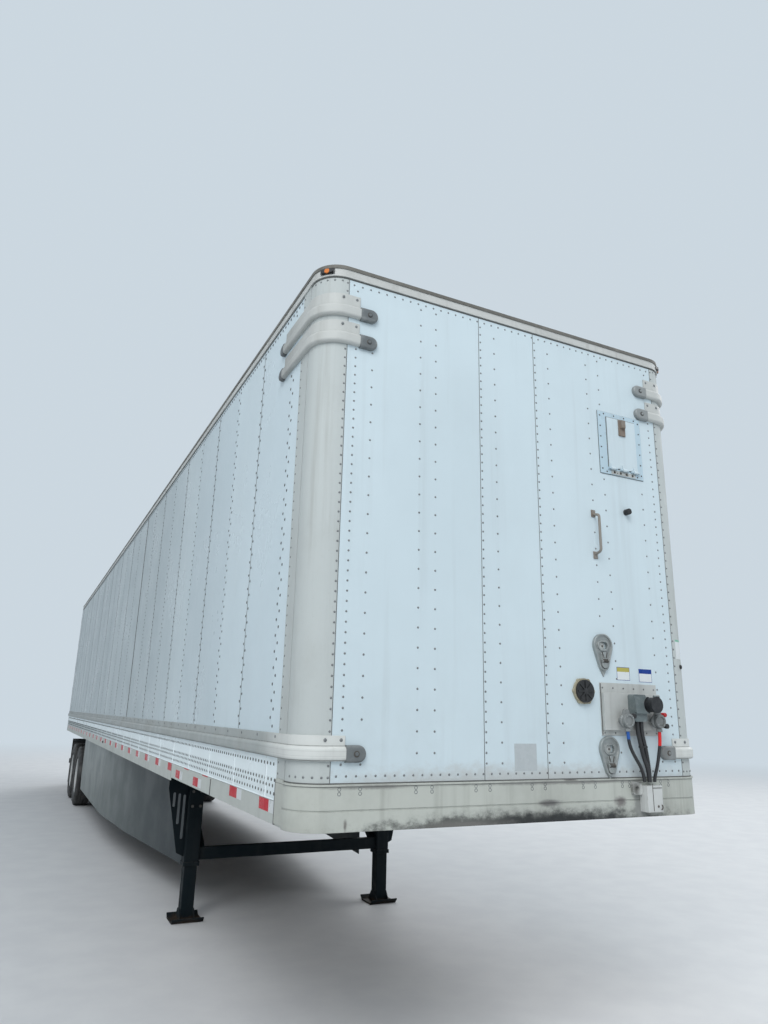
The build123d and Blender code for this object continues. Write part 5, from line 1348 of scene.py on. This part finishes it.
def clear_of_rails(places, reach):
    """Leave out the places that lie behind the three rails on each side and past |X| = reach."""
    keep = np.ones(len(places), bool)
    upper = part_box("corner_rails")
    for low, high in (
        (RUB_LOW, RUB_HIGH), (upper[0].z, upper[0].z + UPPER_RAIL),
        (upper[1].z - UPPER_RAIL, upper[1].z),
    ):
        inside = (places[:, 1] > low - 0.012) & (places[:, 1] < high + 0.012)
        keep &= ~(inside & (np.abs(places[:, 0]) > reach))
    return places[keep]


class TRAILER_OT_nose_rivets(bpy.types.Operator):
    """Rivet the nose: columns, rows and both edges of each corner post"""

    bl_idname = "trailer.nose_rivets"
    bl_label = "Nose rivets"

    def execute(self, context):
        sizes = context.scene.trailer_sizes
        pitch = sizes.rivet_pitch
        profile = rivet_profile(sizes.rivet_radius, sizes.rivet_height)
        fittings = "service_panel", "vent_frame", "round_port", "rubber_bumper"
        places = clear_of_hooks(clear_of(nose_columns(pitch), 0.006, *fittings))
        places = clear_of_rails(places, 0.935)
        centres = points_at(places[:, 0], NOSE, places[:, 1])
        piece(
            "nose_rivets", turned_many(centres, FRONT, profile), "rivet_head"
        )
        heights = spaced(RAIL_TOP + 0.03, WALL_TOP - 0.03, pitch)
        edge_x = POST_EDGE + 0.010
        edge = np.stack(np.broadcast_arrays(edge_x, heights), axis=1)
        heights = clear_of_rails(edge, 0.9)[:, 1]
        angle = np.linspace(0.22, pi / 2 - 0.22, 5)
        parts = []
        for _, sign in SIDES:
            front = points_at(sign * edge_x, NOSE, heights)
            parts.append(turned_many(front, FRONT, profile))
            back = points_at(sign * (SIDE + 0.0015), NOSE + POST_FLANGE - 0.018, heights)
            parts.append(turned_many(back, (sign, 0, 0), profile))
            for z in (RAIL_TOP + 0.03, WALL_TOP - 0.022):
                normal = points_at(sign * np.cos(angle), -np.sin(angle), 0.0)
                centre = np.array([sign * (SIDE - CORNER), NOSE + CORNER, z]) + CORNER * normal
                parts.append(turned_many(centre, normal, profile))
        piece("post_rivets", joined(parts), "rivet_head")
        return {"FINISHED"}


class TRAILER_OT_side_rivets(bpy.types.Operator):
    """Rivet both side walls: staggered pairs on each post and rows along the rails"""

    bl_idname = "trailer.side_rivets"
    bl_label = "Side rivets"

    def execute(self, context):
        sizes = context.scene.trailer_sizes
        profile = rivet_profile(1.5 * sizes.rivet_radius, sizes.rivet_height)
        rail_profile = rivet_profile(0.008, 0.003)
        bolts = np.arange(NOSE + 0.33, FRAME_FRONT - 0.1, sizes.post_pitch / 2)
        places = self.places(sizes)
        for side_name, sign in SIDES:
            out = (sign, 0, 0)
            centres = points_at(sign * SIDE, places[:, 0], places[:, 1])
            piece(
                f"side_rivets_{side_name}", turned_many(centres, out, profile, sides=6),
                "rivet_dark",
            )
            centres = points_at(sign * (SIDE + 0.007), bolts, RUB_HIGH - 0.017)
            piece(
                f"rub_rail_rivets_{side_name}",
                turned_many(centres, out, rail_profile, sides=10), "rivet_head",
            )
        return {"FINISHED"}

    def places(self, sizes):
        """Rivet places on a side wall as y, z, free of the upper corner rails."""
        pitch = sizes.rivet_pitch
        close = 0.82 * pitch
        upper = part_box("corner_rails")
        rail_end = upper[1].y + 0.02
        places = []
        for y in np.arange(NOSE + sizes.first_post, FRAME_FRONT - 0.05, sizes.post_pitch):
            for shift, start in ((-0.020, 0.0), (0.020, close)):
                heights = np.arange(RUB_HIGH + 0.03 + start, WALL_TOP - 0.045, 2 * close)
                if y < rail_end:
                    free = (heights < upper[0].z - 0.012) | (heights > upper[1].z + 0.012)
                    heights = heights[free]
                places += [(y + shift, z) for z in heights]
        along = np.arange(NOSE + POST_FLANGE + 0.03, FRAME_FRONT - 0.02, pitch)
        places += [(y, WALL_TOP - 0.030) for y in along]
        for row, z in enumerate((1.338, 1.373, SIDE_SEAT - 0.012, 1.473)):
            places += [(y + 0.5 * pitch * (row % 2), z) for y in along[:-1]]
        return np.array(places)


class TRAILER_OT_rail_fixings(bpy.types.Operator):
    """Bolt the flanges and the caps of the bumper rails, and the nose rail in pairs"""

    bl_idname = "trailer.rail_fixings"
    bl_label = "Rail fixings"

    def execute(self, context):
        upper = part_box("corner_rails")
        centres = [
            (sign * x, NOSE - 0.007, top - 0.020)
            for top in (RUB_HIGH, upper[0].z + UPPER_RAIL, upper[1].z)
            for _, sign in SIDES for x in (1.071, 1.151)
        ]
        head = rivet_profile(0.0085, 0.003)
        piece(
            "rail_flange_bolts", turned_many(centres, FRONT, head, sides=12), "rivet_head",
        )
        centres = [
            (sign * 0.9975, NOSE - RAIL_STAND, z) for z in cap_heights() for _, sign in SIDES
        ]
        washer = [(0.0150, -0.001), (0.0150, 0.0010), (0.0135, 0.0016)]
        piece(
            "cap_washers", turned_many(centres, FRONT, washer, sides=20), "bolt_dark",
        )
        centres = [
            (x, NOSE - 0.0055, RAIL_TOP - drop)
            for x in (-1.071, -0.966, -0.671, -0.582, -0.328, -0.244, 0.019, 0.104, 0.360,
                      0.445, 0.640, 0.692, 0.930, 0.990)
            for drop in (0.021, 0.041)
        ]
        ring = [(0.0092, -0.001), (0.0092, 0.0012), (0.0074, 0.0014), (0.0060, 0.0004)]
        piece(
            "nose_rail_bolts", turned_many(centres, FRONT, ring, sides=14), "rivet_head",
        )
        return {"FINISHED"}


class TRAILER_OT_seams(bpy.types.Operator):
    """Draw the panel seams, a dark band under the top rail that paints its shade, a dark joint
    strip at the nose's foot that also paints the shadow along the rail's top, and the dark bead
    over the top rail.
    """

    bl_idname = "trailer.seams"
    bl_label = "Seams and beads"

    def execute(self, context):
        tall = WALL_TOP - RAIL_TOP
        seams_x = np.array([-0.270, 0.132, -POST_EDGE, POST_EDGE])
        shapes = [on_nose(seams_x, (WALL_TOP + RAIL_TOP) / 2, (0.0030, tall, 0.0012))]
        # A panel joint at every second post from the second one on; the fifth is a wide one
        first = NOSE + FIRST_POST + POST_PITCH
        joints = np.arange(first, FRAME_FRONT - 0.2, 2 * POST_PITCH)
        low = RUB_HIGH + 0.004
        middle = (WALL_TOP + low) / 2
        flange_end = NOSE + POST_FLANGE
        plate_ends = np.array([NOSE + 1.598, NOSE + 2.902])
        length = FRAME_FRONT - NOSE - POST_REACH
        for _, sign in SIDES:
            for y, z, width, height, thick in (
                (flange_end, (WALL_TOP + SIDE_SEAT) / 2, 0.0035, WALL_TOP - SIDE_SEAT, 0.0012),
                (flange_end, (RAIL_BOTTOM + SIDE_SEAT) / 2, 0.007,
                 SIDE_SEAT - RAIL_BOTTOM - 0.01, 0.0065),
                (joints, middle, 0.004, WALL_TOP - low, 0.0012),
                (joints[4], middle, 0.020, WALL_TOP - low, 0.0030),
                (plate_ends, PLATE_Z, 0.005, PLATE_HEIGHT, 0.0045),
                (NOSE + POST_REACH + length / 2, WALL_TOP - 0.004, length, 0.008, 0.0015),
            ):
                shapes.append(on_side(sign, y, z, (width, height, thick)))
        # A dark band under the top rail: painted shade under its overhang
        top_rail_shade = [(0.0, -0.0085), (0.0, 0.0), (0.0015, 0.0), (0.0015, -0.0085)]
        shapes.append(carried(top_rail_shade, nose_path(0.0, WALL_TOP)))
        # A dark joint strip at the nose's foot, widened to paint the shadow along the rail's top
        foot = [(0.0, 0.0), (0.0, 0.006), (0.0025, 0.006), (0.0025, 0.0)]
        shapes.append(carried(foot, nose_path(0.0, RAIL_TOP)))
        piece("seam_lines", joined(shapes), "seam_line", smooth=False)
        self.bead()
        return {"FINISHED"}

    def bead(self):
        """The dark bead round the nose and along both sides, just under the roof's level."""
        section = [(0.0, 0.0), (0.0, 0.0205), (0.0095, 0.0205), (0.0100, 0.010), (0.0095, 0.0)]
        low = ROOF - 0.0206
        parts = [carried(section, nose_path(0.0, low))]
        for _, sign in SIDES:
            ends = [(sign * SIDE, NOSE + POST_REACH, low), (sign * SIDE, FRAME_FRONT, low)]
            parts.append(carried(section, ends if sign > 0 else ends[::-1]))
        piece("top_bead", joined(parts), "top_bead")


def bullet(start, way, normal, length, half, levels):
    """A rail's pointed end cap.

    Its outline lies s L ahead of the start, for s from 0 to 1, at a height of +- H
    sqrt(1 - s^2.4) from it, and is closed at the start. Each (shrink, stand) of the levels lifts
    a copy of the outline, drawn in by shrink.
    """
    angle = np.linspace(-pi / 2, pi / 2, 19)
    share = np.cos(angle)
    ahead = np.outer(length * share, way)
    rise = np.outer(half * np.sqrt(1 - share ** 2.4) * np.sign(angle), UP)
    rows = [
        np.asarray(start, float) + (ahead + rise) * (1 - shrink) + stand * np.asarray(normal, float)
        for shrink, stand in levels
    ]
    points = np.stack(rows)
    index = np.arange(len(levels) * len(angle)).reshape(len(levels), len(angle))
    turn = np.roll(index, -1, axis=1)
    quads = np.stack([index[:-1], turn[:-1], turn[1:], index[1:]], axis=-1).reshape(-1, 4)
    ends = [index[:1, ::-1], index[-1:]]
    if np.dot(np.cross(way, UP), normal) < 0:
        quads, ends = quads[:, ::-1], [end[:, ::-1] for end in ends]
    return points.reshape(-1, 3), [quads, *ends]


class TRAILER_OT_corner_trim(bpy.types.Operator):
    """Lay the corner posts' side flanges and cap the rear ends of the upper corner rails"""

    bl_idname = "trailer.corner_trim"
    bl_label = "Corner trim"

    def execute(self, context):
        rail_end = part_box("corner_rails")[1].y - 0.004
        width = POST_FLANGE - POST_REACH
        y = NOSE + POST_REACH + width / 2
        flange = (width, WALL_TOP - SIDE_SEAT, 0.0018)
        wrap = (width, SIDE_SEAT - RAIL_BOTTOM - 0.010, 0.0055)
        levels = ((0.0, 0.0), (0.0, 0.013), (0.07, 0.021), (0.20, 0.0248))
        flanges, wraps, caps = [], [], []
        for _, sign in SIDES:
            flanges.append(on_side(sign, y, (WALL_TOP + SIDE_SEAT) / 2, flange, bevel=0.0004))
            wraps.append(on_side(
                sign, y, (RAIL_BOTTOM + SIDE_SEAT) / 2 + 0.005, wrap, bevel=0.001
            ))
            for z in cap_heights()[1:]:
                start = (sign * SIDE, rail_end, z)
                caps.append(bullet(start, BACK, (sign, 0, 0), 0.070, 0.038, levels))
        piece("post_flanges", joined(flanges), "post_metal")
        piece("rail_wraps", joined(wraps), "nose_rail")
        piece("rail_rear_caps", joined(caps), "cap_dark")
        return {"FINISHED"}


class TRAILER_OT_side_strips(bpy.types.Operator):
    """Fit the joint strips of the lower side panels with a painted shadow beside each, and the
    plate laid over the rail
    """

    bl_idname = "trailer.side_strips"
    bl_label = "Side strips"

    def execute(self, context):
        pitch = context.scene.trailer_sizes.post_pitch
        ys = np.arange(NOSE + 0.462, FRAME_FRONT - 0.1, pitch)
        z = (LEDGE_Z + RUB_LOW) / 2
        tall = RUB_LOW - LEDGE_Z
        middle = (NOSE + POST_REACH + FRAME_FRONT) / 2
        length = FRAME_FRONT - NOSE - POST_REACH - 0.004
        for side_name, sign in SIDES:
            strips = on_side(sign, ys, z, (0.014, tall, 0.0022), bevel=0.0008)
            ledge = on_side(sign, middle, LEDGE_Z, (length, 0.006, 0.0035), bevel=0.001)
            # A thin dark strip beside each joint strip paints its shadow.
            strip_shadows = on_side(sign, ys + 0.010, z, (0.005, tall - 0.006, 0.0008))
            plate = on_side(
                sign, NOSE + 2.25, PLATE_Z, (1.30, PLATE_HEIGHT, 0.004), bevel=0.0015
            )
            for name, shape, finish, slot in (
                ("side_strips", joined([strips, ledge]), "strip_white", "rail_aluminium"),
                ("side_strip_shadows", strip_shadows, "seam_line", "rubber_black"),
                ("overlay_plate", plate, "side_rail", "rail_aluminium"),
            ):
                piece(f"{name}_{side_name}", shape, finish, smooth=False)
        return {"FINISHED"}


class TRAILER_OT_tape(bpy.types.Operator):
    """Stick the red and white tape along the sides and over the rear"""

    bl_idname = "trailer.tape"
    bl_label = "Reflective tape"

    def execute(self, context):
        run, white_run, tall, thin = 0.158, 0.095, 0.056, 0.0006
        reds, whites = [], []
        starts = [0.390, 0.976, *np.arange(2.925, FRAME_FRONT - NOSE - 0.3, 0.597)]
        places = [(start, TAPE_Z, 0.0) for start in starts]
        places += [(start, 1.247, 0.004) for start in (1.938, 2.560)]
        for _, sign in SIDES:
            for start, z, stand in places:
                for group, middle, width in (
                    (reds, run / 2, run), (whites, -white_run / 2, white_run),
                ):
                    size = (width, tall, thin)
                    group.append(on_side(sign, NOSE + start + middle, z, size, stand))
            for start in (1.688, 2.284):
                y = NOSE + start + run / 2
                reds.append(on_side(sign, y, 1.3045, (run, 0.008, thin)))
        guard_low, guard_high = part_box("impact_guard")
        sill_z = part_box("rear_frame")[0].z + 0.045
        for end, y, z in ((0.825, REAR, sill_z), (0.9075, guard_high.y, guard_low.z + 0.05)):
            for number, x in enumerate(np.arange(-end, end + 0.001, run)):
                group = reds if number % 2 else whites
                group.append(on_rear(x, z, (run, tall, thin), y))
        for _, sign in SIDES:
            whites.append(on_rear(sign * 1.02, ROOF - 0.030, (0.300, tall, thin)))
            whites.append(on_rear(sign * 1.240, ROOF - 0.230, (tall, 0.300, thin)))
        piece("tape_red", joined(reds), "tape_red", smooth=False)
        piece("tape_white", joined(whites), "tape_white", smooth=False)
        return {"FINISHED"}


class TRAILER_OT_labels(bpy.types.Operator):
    """Stick the blank labels on the nose and the road side post, with the post's plug"""

    bl_idname = "trailer.labels"
    bl_label = "Blank labels"

    def execute(self, context):
        thin, head = 0.0005, 0.024
        paper, yellow, blue, green = [], [], [], []
        for low_x, high_x, low_z, high_z, group in (
            (0.659, 0.753, 1.944, 2.014, yellow), (0.830, 0.927, 1.939, 2.010, blue),
        ):
            x = (low_x + high_x) / 2
            width, height = high_x - low_x, high_z - low_z
            body = height - head
            border = (width + 0.005, height + 0.005, 0.6 * thin)
            blue.append(on_nose(x, (low_z + high_z) / 2, border))
            paper.append(on_nose(x, low_z + body / 2, (width, body, thin)))
            group.append(on_nose(x, high_z - head / 2, (width, head, thin)))
        turn = np.linspace(radians(9.2), radians(43.9), 9)
        bend = points_at(
            SIDE - CORNER + CORNER * np.sin(turn), NOSE + CORNER - CORNER * np.cos(turn), 0.0
        )
        for low_z, high_z, group in ((2.088, 2.193, paper), (2.193, 2.205, green)):
            strip = [(0.0, low_z), (0.0, high_z), (thin, high_z), (thin, low_z)]
            group.append(carried(strip, bend))
        grey = [on_nose(-0.012, 1.520, (0.143, 0.135, thin))]
        for name, shapes, slot in (
            ("label_paper", paper, "white_panel"), ("label_yellow", yellow, "white_panel"),
            ("label_blue", blue, "white_panel"), ("label_green", green, "white_panel"),
            ("label_grey", grey, "pan_grey"),
        ):
            piece(name, joined(shapes), name, smooth=False)
        lean = radians(25.7)
        normal = np.array([sin(lean), -cos(lean), 0.0])
        foot = np.array([SIDE - CORNER, NOSE + CORNER, 2.041]) + CORNER * normal
        stud = [(0.013, -0.001), (0.013, 0.006), (0.009, 0.009)]
        piece("post_plug", turned_many([foot], normal, stud, 16), "rubber")
        return {"FINISHED"}


# A tyre's sidewall from the bead to the shoulder: how far each point lies inside the tyre's
# width, and its radius; then the middles of the grooves on one half of the tread
SIDEWALL = (
    (0.033, 0.2868), (0.030, 0.306), (0.016, 0.330), (0.013, 0.334), (0.011, 0.333),
    (0.003, 0.368), (0.0, 0.390), (0.001, 0.412), (0.005, 0.436), (0.003, 0.440),
    (0.005, 0.444), (0.012, 0.466), (0.019, 0.484), (0.026, 0.496), (0.033, 0.5025),
    (0.045, 0.5045),
)
GROOVES = (0.076, 0.026)
TYRE_WIDTH = 0.280


def tyre_outline(width, depth):
    """A tyre's closed section (out, r): sidewall bulge with rings, shoulders, and a tread of
    ribs parted by four grooves; each half is the mirror image of the other."""
    half = [(width / 2 - inside, radius) for inside, radius in SIDEWALL]
    for middle in GROOVES:
        crown = TYRE_RADIUS - 0.5 * (middle / width) ** 2 * 0.02
        half += [
            (middle + 0.0065, crown), (middle + 0.0040, crown - depth),
            (middle - 0.0040, crown - depth), (middle - 0.0065, crown),
        ]
    other = [(-out, radius) for out, radius in reversed(half)]
    return np.array(half + other)


class TRAILER_OT_tyres(bpy.types.Operator):
    """Replace the plain tyres by grooved ones on the same rims"""

    bl_idname = "trailer.tyres"
    bl_label = "Tyres"

    def execute(self, context):
        outline = tyre_outline(TYRE_WIDTH, context.scene.trailer_sizes.groove_depth)
        for row, y in AXLES.items():
            for side_name, _ in SIDES:
                low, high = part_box(f"tyres_{row}_{side_name}")
                parts = [
                    ring_section(outline, (x, y, TYRE_RADIUS), 120)
                    for x in (low.x + TYRE_WIDTH / 2, high.x - TYRE_WIDTH / 2)
                ]
                piece(
                    f"treaded_tyres_{row}_{side_name}", joined(parts), "tyre_rubber",
                    body=f"wheels_{row}_{side_name}",
                    standing_for=(f"tyres_{row}_{side_name}",),
                )
        return {"FINISHED"}


# The X of the outer wheels' discs; then the wheel nuts, the studs in them and the hub cap bolts:
# how many, on what radius, how far out of that X, their profile and their number of sides
DISC_X = 0.984
WHEEL_BOLTS = (
    (10, 0.1425, 0.0122, [(0.019, 0.0), (0.019, 0.024), (0.016, 0.027)], 6),
    (10, 0.1425, 0.0390, [(0.011, 0.0), (0.011, 0.018), (0.009, 0.021)], 10),
    (6, 0.074, 0.1080, [(0.0075, 0.0), (0.0075, 0.006), (0.006, 0.008)], 6),
)


class TRAILER_OT_wheel_nuts(bpy.types.Operator):
    """Fit the wheel nuts, their studs and the hub cap bolts"""

    bl_idname = "trailer.wheel_nuts"
    bl_label = "Wheel nuts"

    def execute(self, context):
        for row, y in AXLES.items():
            for side_name, sign in SIDES:
                parts = []
                for count, radius, level, profile, sides in WHEEL_BOLTS:
                    angle = np.arange(count) * 2 * pi / count
                    centres = points_at(
                        sign * (DISC_X + level), y + radius * np.sin(angle),
                        TYRE_RADIUS + radius * np.cos(angle),
                    )
                    parts.append(turned_many(centres, (sign, 0, 0), profile, sides=sides))
                piece(
                    f"wheel_nuts_{row}_{side_name}", joined(parts), "galvanised",
                    body=f"wheels_{row}_{side_name}",
                )
        return {"FINISHED"}


class TRAILER_OT_nose_fittings(bpy.types.Operator):
    """Finish the nose fittings: vent, pear hooks, air couplings, service panel, line bracket"""

    bl_idname = "trailer.nose_fittings"
    bl_label = "Nose fittings"

    def execute(self, context):
        self.vent()
        self.hooks()
        self.coupling_trim()
        self.panel()
        self.bracket()
        return {"FINISHED"}

    def bracket(self):
        """Lip, edge line, bolt and line hook of the bracket.

        The hook's wire follows an oval, (A cos a, B sin a) in X and Z.
        """
        low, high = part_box("line_bracket")
        stand = NOSE - low.y
        lip = on_nose(high.x - 0.036, high.z - 0.030, (0.066, 0.0035, 0.0015), stand)
        size = (0.004, high.z - low.z - 0.012, 0.0008)
        edge = on_nose(high.x - 0.071, (low.z + high.z) / 2, size, stand)
        foot = (high.x - 0.036, low.y, low.z + 0.030)
        bolt = turned_many([foot], FRONT, rivet_profile(0.007, 0.004), 12)
        angle = np.linspace(radians(70), radians(-100), 14)
        path = points_at(
            high.x - 0.016 + 0.010 * np.cos(angle), low.y - 0.003,
            low.z + 0.026 + 0.012 * np.sin(angle),
        )
        hook = carried(circle(0.0026, 8), path, up=FRONT)
        piece(
            "bracket_trim", joined([lip, edge, bolt, hook]), "bolt_dark",
            smooth=False,
        )

    def vent(self):
        """Screws round the vent's frame, dark outlines, and the hinge leaf with four bolts."""
        low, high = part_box("vent_frame")
        face = NOSE - 0.006
        screws = [
            (x, face, z) for x in (low.x + 0.016, high.x - 0.016)
            for z in np.linspace(low.z + 0.03, high.z - 0.03, 6)
        ]
        screws += [
            (x, face, z) for x in np.linspace(low.x + 0.05, high.x - 0.05, 4)
            for z in (low.z + 0.014, high.z - 0.014)
        ]
        piece(
            "vent_screws", turned_many(screws, FRONT, rivet_profile(0.0055, 0.003)),
            "bolt_dark",
        )
        centre = ((low.x + high.x) / 2, (low.z + high.z) / 2)
        half = ((high.x - low.x) / 2, (high.z - low.z) / 2)
        lines = rectangle_lines(centre, half, 0.0015, 0.003, 0.0, 0.0015)
        door_low, door_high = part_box("vent_door")
        door_foot = door_low.z + 0.017
        door_half, gap = 0.118, 0.003
        centre = (HINGE_X, (door_foot + door_high.z) / 2)
        half = (door_half + gap, (door_high.z - door_foot) / 2 + gap)
        lines += rectangle_lines(centre, half, 0.0, 0.006, 0.006, 0.0006)
        piece("vent_outline", joined(lines), "seam_line", smooth=False)
        hinge_z = door_low.z - 0.012
        leaf = on_nose(HINGE_X, hinge_z, (0.200, 0.026, 0.002), 0.006, 0.0006)
        piece("vent_hinge_leaf", leaf, "pan_grey", smooth=False)
        bolts = [
            (HINGE_X + shift, face - 0.002, hinge_z) for shift in (-0.075, -0.025, 0.025, 0.075)
        ]
        piece(
            "vent_hinge_bolts", turned_many(bolts, FRONT, rivet_profile(0.0085, 0.005), 10),
            "bolt_dark",
        )

    def hooks(self):
        """Springs, discs, slots and feet of the pear hooks.

        A spring is a coil round its pin: (x, R cos a, R sin a) while x runs along it.
        """
        along = np.linspace(0, 1, 150)
        angle = 2 * pi * 9 * along
        disc = [(0.0215, -0.001), (0.0215, 0.004), (0.018, 0.006)]
        corner = [(0.042, -0.001), (0.042, 0.006), (0.036, 0.009)]
        reach = HOOKS[1][1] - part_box("pear_hooks")[0].z
        coils, plates, feet, dots = [], [], [], []
        for x, z, lift in HOOKS:
            path = points_at(
                x - 0.020 + 0.040 * along, NOSE - 0.024 - 0.0102 * np.cos(angle),
                z - 0.0864 + 0.0102 * np.sin(angle),
            )
            coils.append(carried(circle(0.0018, 6), path, up=(1.0, 0.0, 0.0)))
            plates.append(turned_many([(x, NOSE, z)], FRONT, disc, 28))
            pin = [(x + 0.002, NOSE - 0.006, z - 0.002)]
            dots.append(turned_many(pin, FRONT, rivet_profile(0.0065, 0.003), 10))
            for lean in (-1, 1):
                slot = [(x + lean * 0.013, NOSE - 0.0255, z - 0.055)]
                dots.append(slabs(slot, FRONT, (lean * 0.3, 0.0, 0.954), (0.006, 0.034, 0.0014)))
            foot = [(x, NOSE, z - reach + lift)]
            feet.append(turned_many(foot, FRONT, corner, 3, phase=-pi / 2))
        piece("hook_springs", joined(coils), "bolt_dark")
        piece("hook_plates", joined(plates), "pan_grey")
        piece("hook_feet", joined(feet), "hook_grey", smooth=False)
        piece("hook_slots", joined(dots), "bolt_dark", smooth=False)

    def coupling_trim(self):
        """Cap, knobs and studs of the two air couplings."""
        face = NOSE - COUPLING_STAND
        cap = [(0.013, -0.024), (0.013, 0.006), (0.010, 0.010)]
        knob = [(0.010, -0.024), (0.014, 0.0), (0.014, 0.012), (0.009, 0.016)]
        knobs = [(0.930, face + 0.012, 1.690), (0.684, face + 0.012, 1.742)]
        studs = [
            (x + 0.030 * cos(turn), face, COUPLING_Z + 0.030 * sin(turn))
            for x in COUPLINGS for turn in (0.6, 2.2, 3.8, 5.4)
        ]
        for name, centres, profile, sides, finish, slot in (
            ("glad_hand_cap", [(0.924, face + 0.012, 1.752)], cap, 14, "knob_red", "red_lens"),
            ("glad_hand_knobs", knobs, knob, 14, "rubber", "rubber_black"),
            ("glad_hand_studs", studs, bolt_profile(0.005, 0.004), 6, "hook_grey", "pan_grey"),
        ):
            piece(name, turned_many(centres, FRONT, profile, sides), finish)

    def panel(self):
        """Screws of the service panel, and a dark strip along its kerb side edge that paints the
        shadow between the panel and the wall.
        """
        low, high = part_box("service_panel")
        screws = [
            (x, NOSE - 0.004, z) for x in np.linspace(low.x + 0.02, high.x - 0.02, 6)
            for z in (low.z + 0.014, high.z - 0.028)
        ]
        piece(
            "panel_screws", turned_many(screws, FRONT, rivet_profile(0.0055, 0.003)),
            "rivet_head",
        )
        # A dark strip along the panel's kerb side edge paints the shadow between the panel and the
        # wall.
        size = (0.008, high.z - low.z - 0.01, 0.001)
        edge = on_nose(low.x + 0.005, (low.z + high.z) / 2, size, 0.004)
        piece("panel_edge_shadow", edge, "seam_line", smooth=False)


def around(corners, steps):
    """Points round a closed outline of (x, z) corners on the doors' outer face: from each corner
    a to the next one b, a + s (b - a) for s from 0 up to 1."""
    share = np.linspace(0, 1, steps, endpoint=False)
    path = []
    for start, end in zip(corners, corners[1:] + corners[:1]):
        x = start[0] + share * (end[0] - start[0])
        z = start[1] + share * (end[1] - start[1])
        path.append(points_at(x, REAR, z))
    return np.concatenate(path)


class TRAILER_OT_rear_details(bpy.types.Operator):
    """Seal and rivet the rear doors and bolt their hinges"""

    bl_idname = "trailer.rear_details"
    bl_label = "Rear details"

    def execute(self, context):
        gasket = [(-0.004, 0.0), (-0.004, 0.012), (0.004, 0.012), (0.006, 0.006), (0.004, 0.0)]
        pitch = 2 * context.scene.trailer_sizes.rivet_pitch
        for side_name, sign in SIDES:
            body = f"rear_door_{side_name}"
            low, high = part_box(body)
            inset = 0.012
            corners = [
                (low.x + inset, low.z + inset), (high.x - inset, low.z + inset),
                (high.x - inset, high.z - inset), (low.x + inset, high.z - inset),
            ]
            seal = carried(gasket, around(corners, 12), up=BACK, closed=True)
            rivets = [
                (x, REAR, z) for x in (low.x + 0.040, high.x - 0.040)
                for z in np.arange(low.z + 0.08, high.z - 0.05, pitch)
            ]
            rivets += [
                (x, REAR, z) for z in (low.z + 0.040, high.z - 0.040)
                for x in np.arange(low.x + 0.12, high.x - 0.1, pitch)
            ]
            bolts = [
                (sign * x, REAR + 0.006, z) for z in np.linspace(1.567, 3.785, 5)
                for x in (1.130, 1.170)
            ]
            rivets = turned_many(rivets, BACK, rivet_profile(0.006, 0.003))
            bolts = turned_many(bolts, BACK, bolt_profile(0.010, 0.007), sides=6)
            for name, shape, finish, slot in (
                ("door_seal", seal, "rubber", "rubber_black"),
                ("door_rivets", rivets, "rivet_head", "galvanised"),
                ("hinge_bolts", bolts, "galvanised", "galvanised"),
            ):
                piece(f"{name}_{side_name}", shape, finish, body=body)
        return {"FINISHED"}


class TRAILER_OT_underframe_details(bpy.types.Operator):
    """Bolt the spring seats on the axles and the wing plates of the landing legs"""

    bl_idname = "trailer.underframe_details"
    bl_label = "Underframe details"

    def execute(self, context):
        # Over the axle's middle: its radius, the height of its seat and the leaves' thickness
        seat = TYRE_RADIUS + 0.0635 + 0.024 + 0.052
        bolts = [
            (sign * x, y + shift, seat) for y in AXLES.values() for _, sign in SIDES
            for x in (0.445, 0.545) for shift in (-0.055, 0.055)
        ]
        piece(
            "spring_bolts", turned_many(bolts, UP, bolt_profile(0.016, 0.016), sides=6),
            "bolt_dark",
        )
        leg_low, leg_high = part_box("landing_legs")
        bolts = [
            (sign * x, leg_low.y, leg_high.z - drop) for _, sign in SIDES
            for x in (0.880, 0.948) for drop in (0.06, 0.18, 0.30)
        ]
        piece(
            "leg_bolts", turned_many(bolts, FRONT, bolt_profile(0.013, 0.010), sides=6),
            "bolt_dark",
        )
        return {"FINISHED"}


OPERATORS = (
    TRAILER_OT_stage,
    TRAILER_OT_finishes,
    TRAILER_OT_lines,
    TRAILER_OT_nose_rivets,
    TRAILER_OT_side_rivets,
    TRAILER_OT_rail_fixings,
    TRAILER_OT_corner_trim,
    TRAILER_OT_seams,
    TRAILER_OT_side_strips,
    TRAILER_OT_tape,
    TRAILER_OT_labels,
    TRAILER_OT_tyres,
    TRAILER_OT_wheel_nuts,
    TRAILER_OT_nose_fittings,
    TRAILER_OT_rear_details,
    TRAILER_OT_underframe_details,
)


class TRAILER_PT_looks(bpy.types.Panel):
    """Lists the trailer's sizes, colours and steps"""

    bl_idname = "TRAILER_PT_looks"
    bl_label = "Trailer looks"
    bl_space_type = "VIEW_3D"
    bl_region_type = "UI"
    bl_category = "Trailer"

    def draw(self, context):
        for group in (context.scene.trailer_sizes, context.scene.trailer_finish):
            for key in group.bl_rna.properties.keys():
                if key not in ("rna_type", "name"):
                    self.layout.prop(group, key)
        for operator in OPERATORS:
            self.layout.operator(operator.bl_idname)


CLASSES = (TrailerSizes, TrailerFinish, *OPERATORS, TRAILER_PT_looks)


def register():
    """Register the classes and hang the property groups on the scene."""
    for cls in CLASSES:
        bpy.utils.register_class(cls)
    bpy.types.Scene.trailer_sizes = bpy.props.PointerProperty(type=TrailerSizes)
    bpy.types.Scene.trailer_finish = bpy.props.PointerProperty(type=TrailerFinish)


def unregister():
    """Take the property groups and the classes away again."""
    del bpy.types.Scene.trailer_finish
    del bpy.types.Scene.trailer_sizes
    for cls in reversed(CLASSES):
        bpy.utils.unregister_class(cls)


def main():
    """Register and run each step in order."""
    register()
    for operator in OPERATORS:
        group, name = operator.bl_idname.split(".")
        getattr(getattr(bpy.ops, group), name)()


if __name__ == "__main__":
    main()
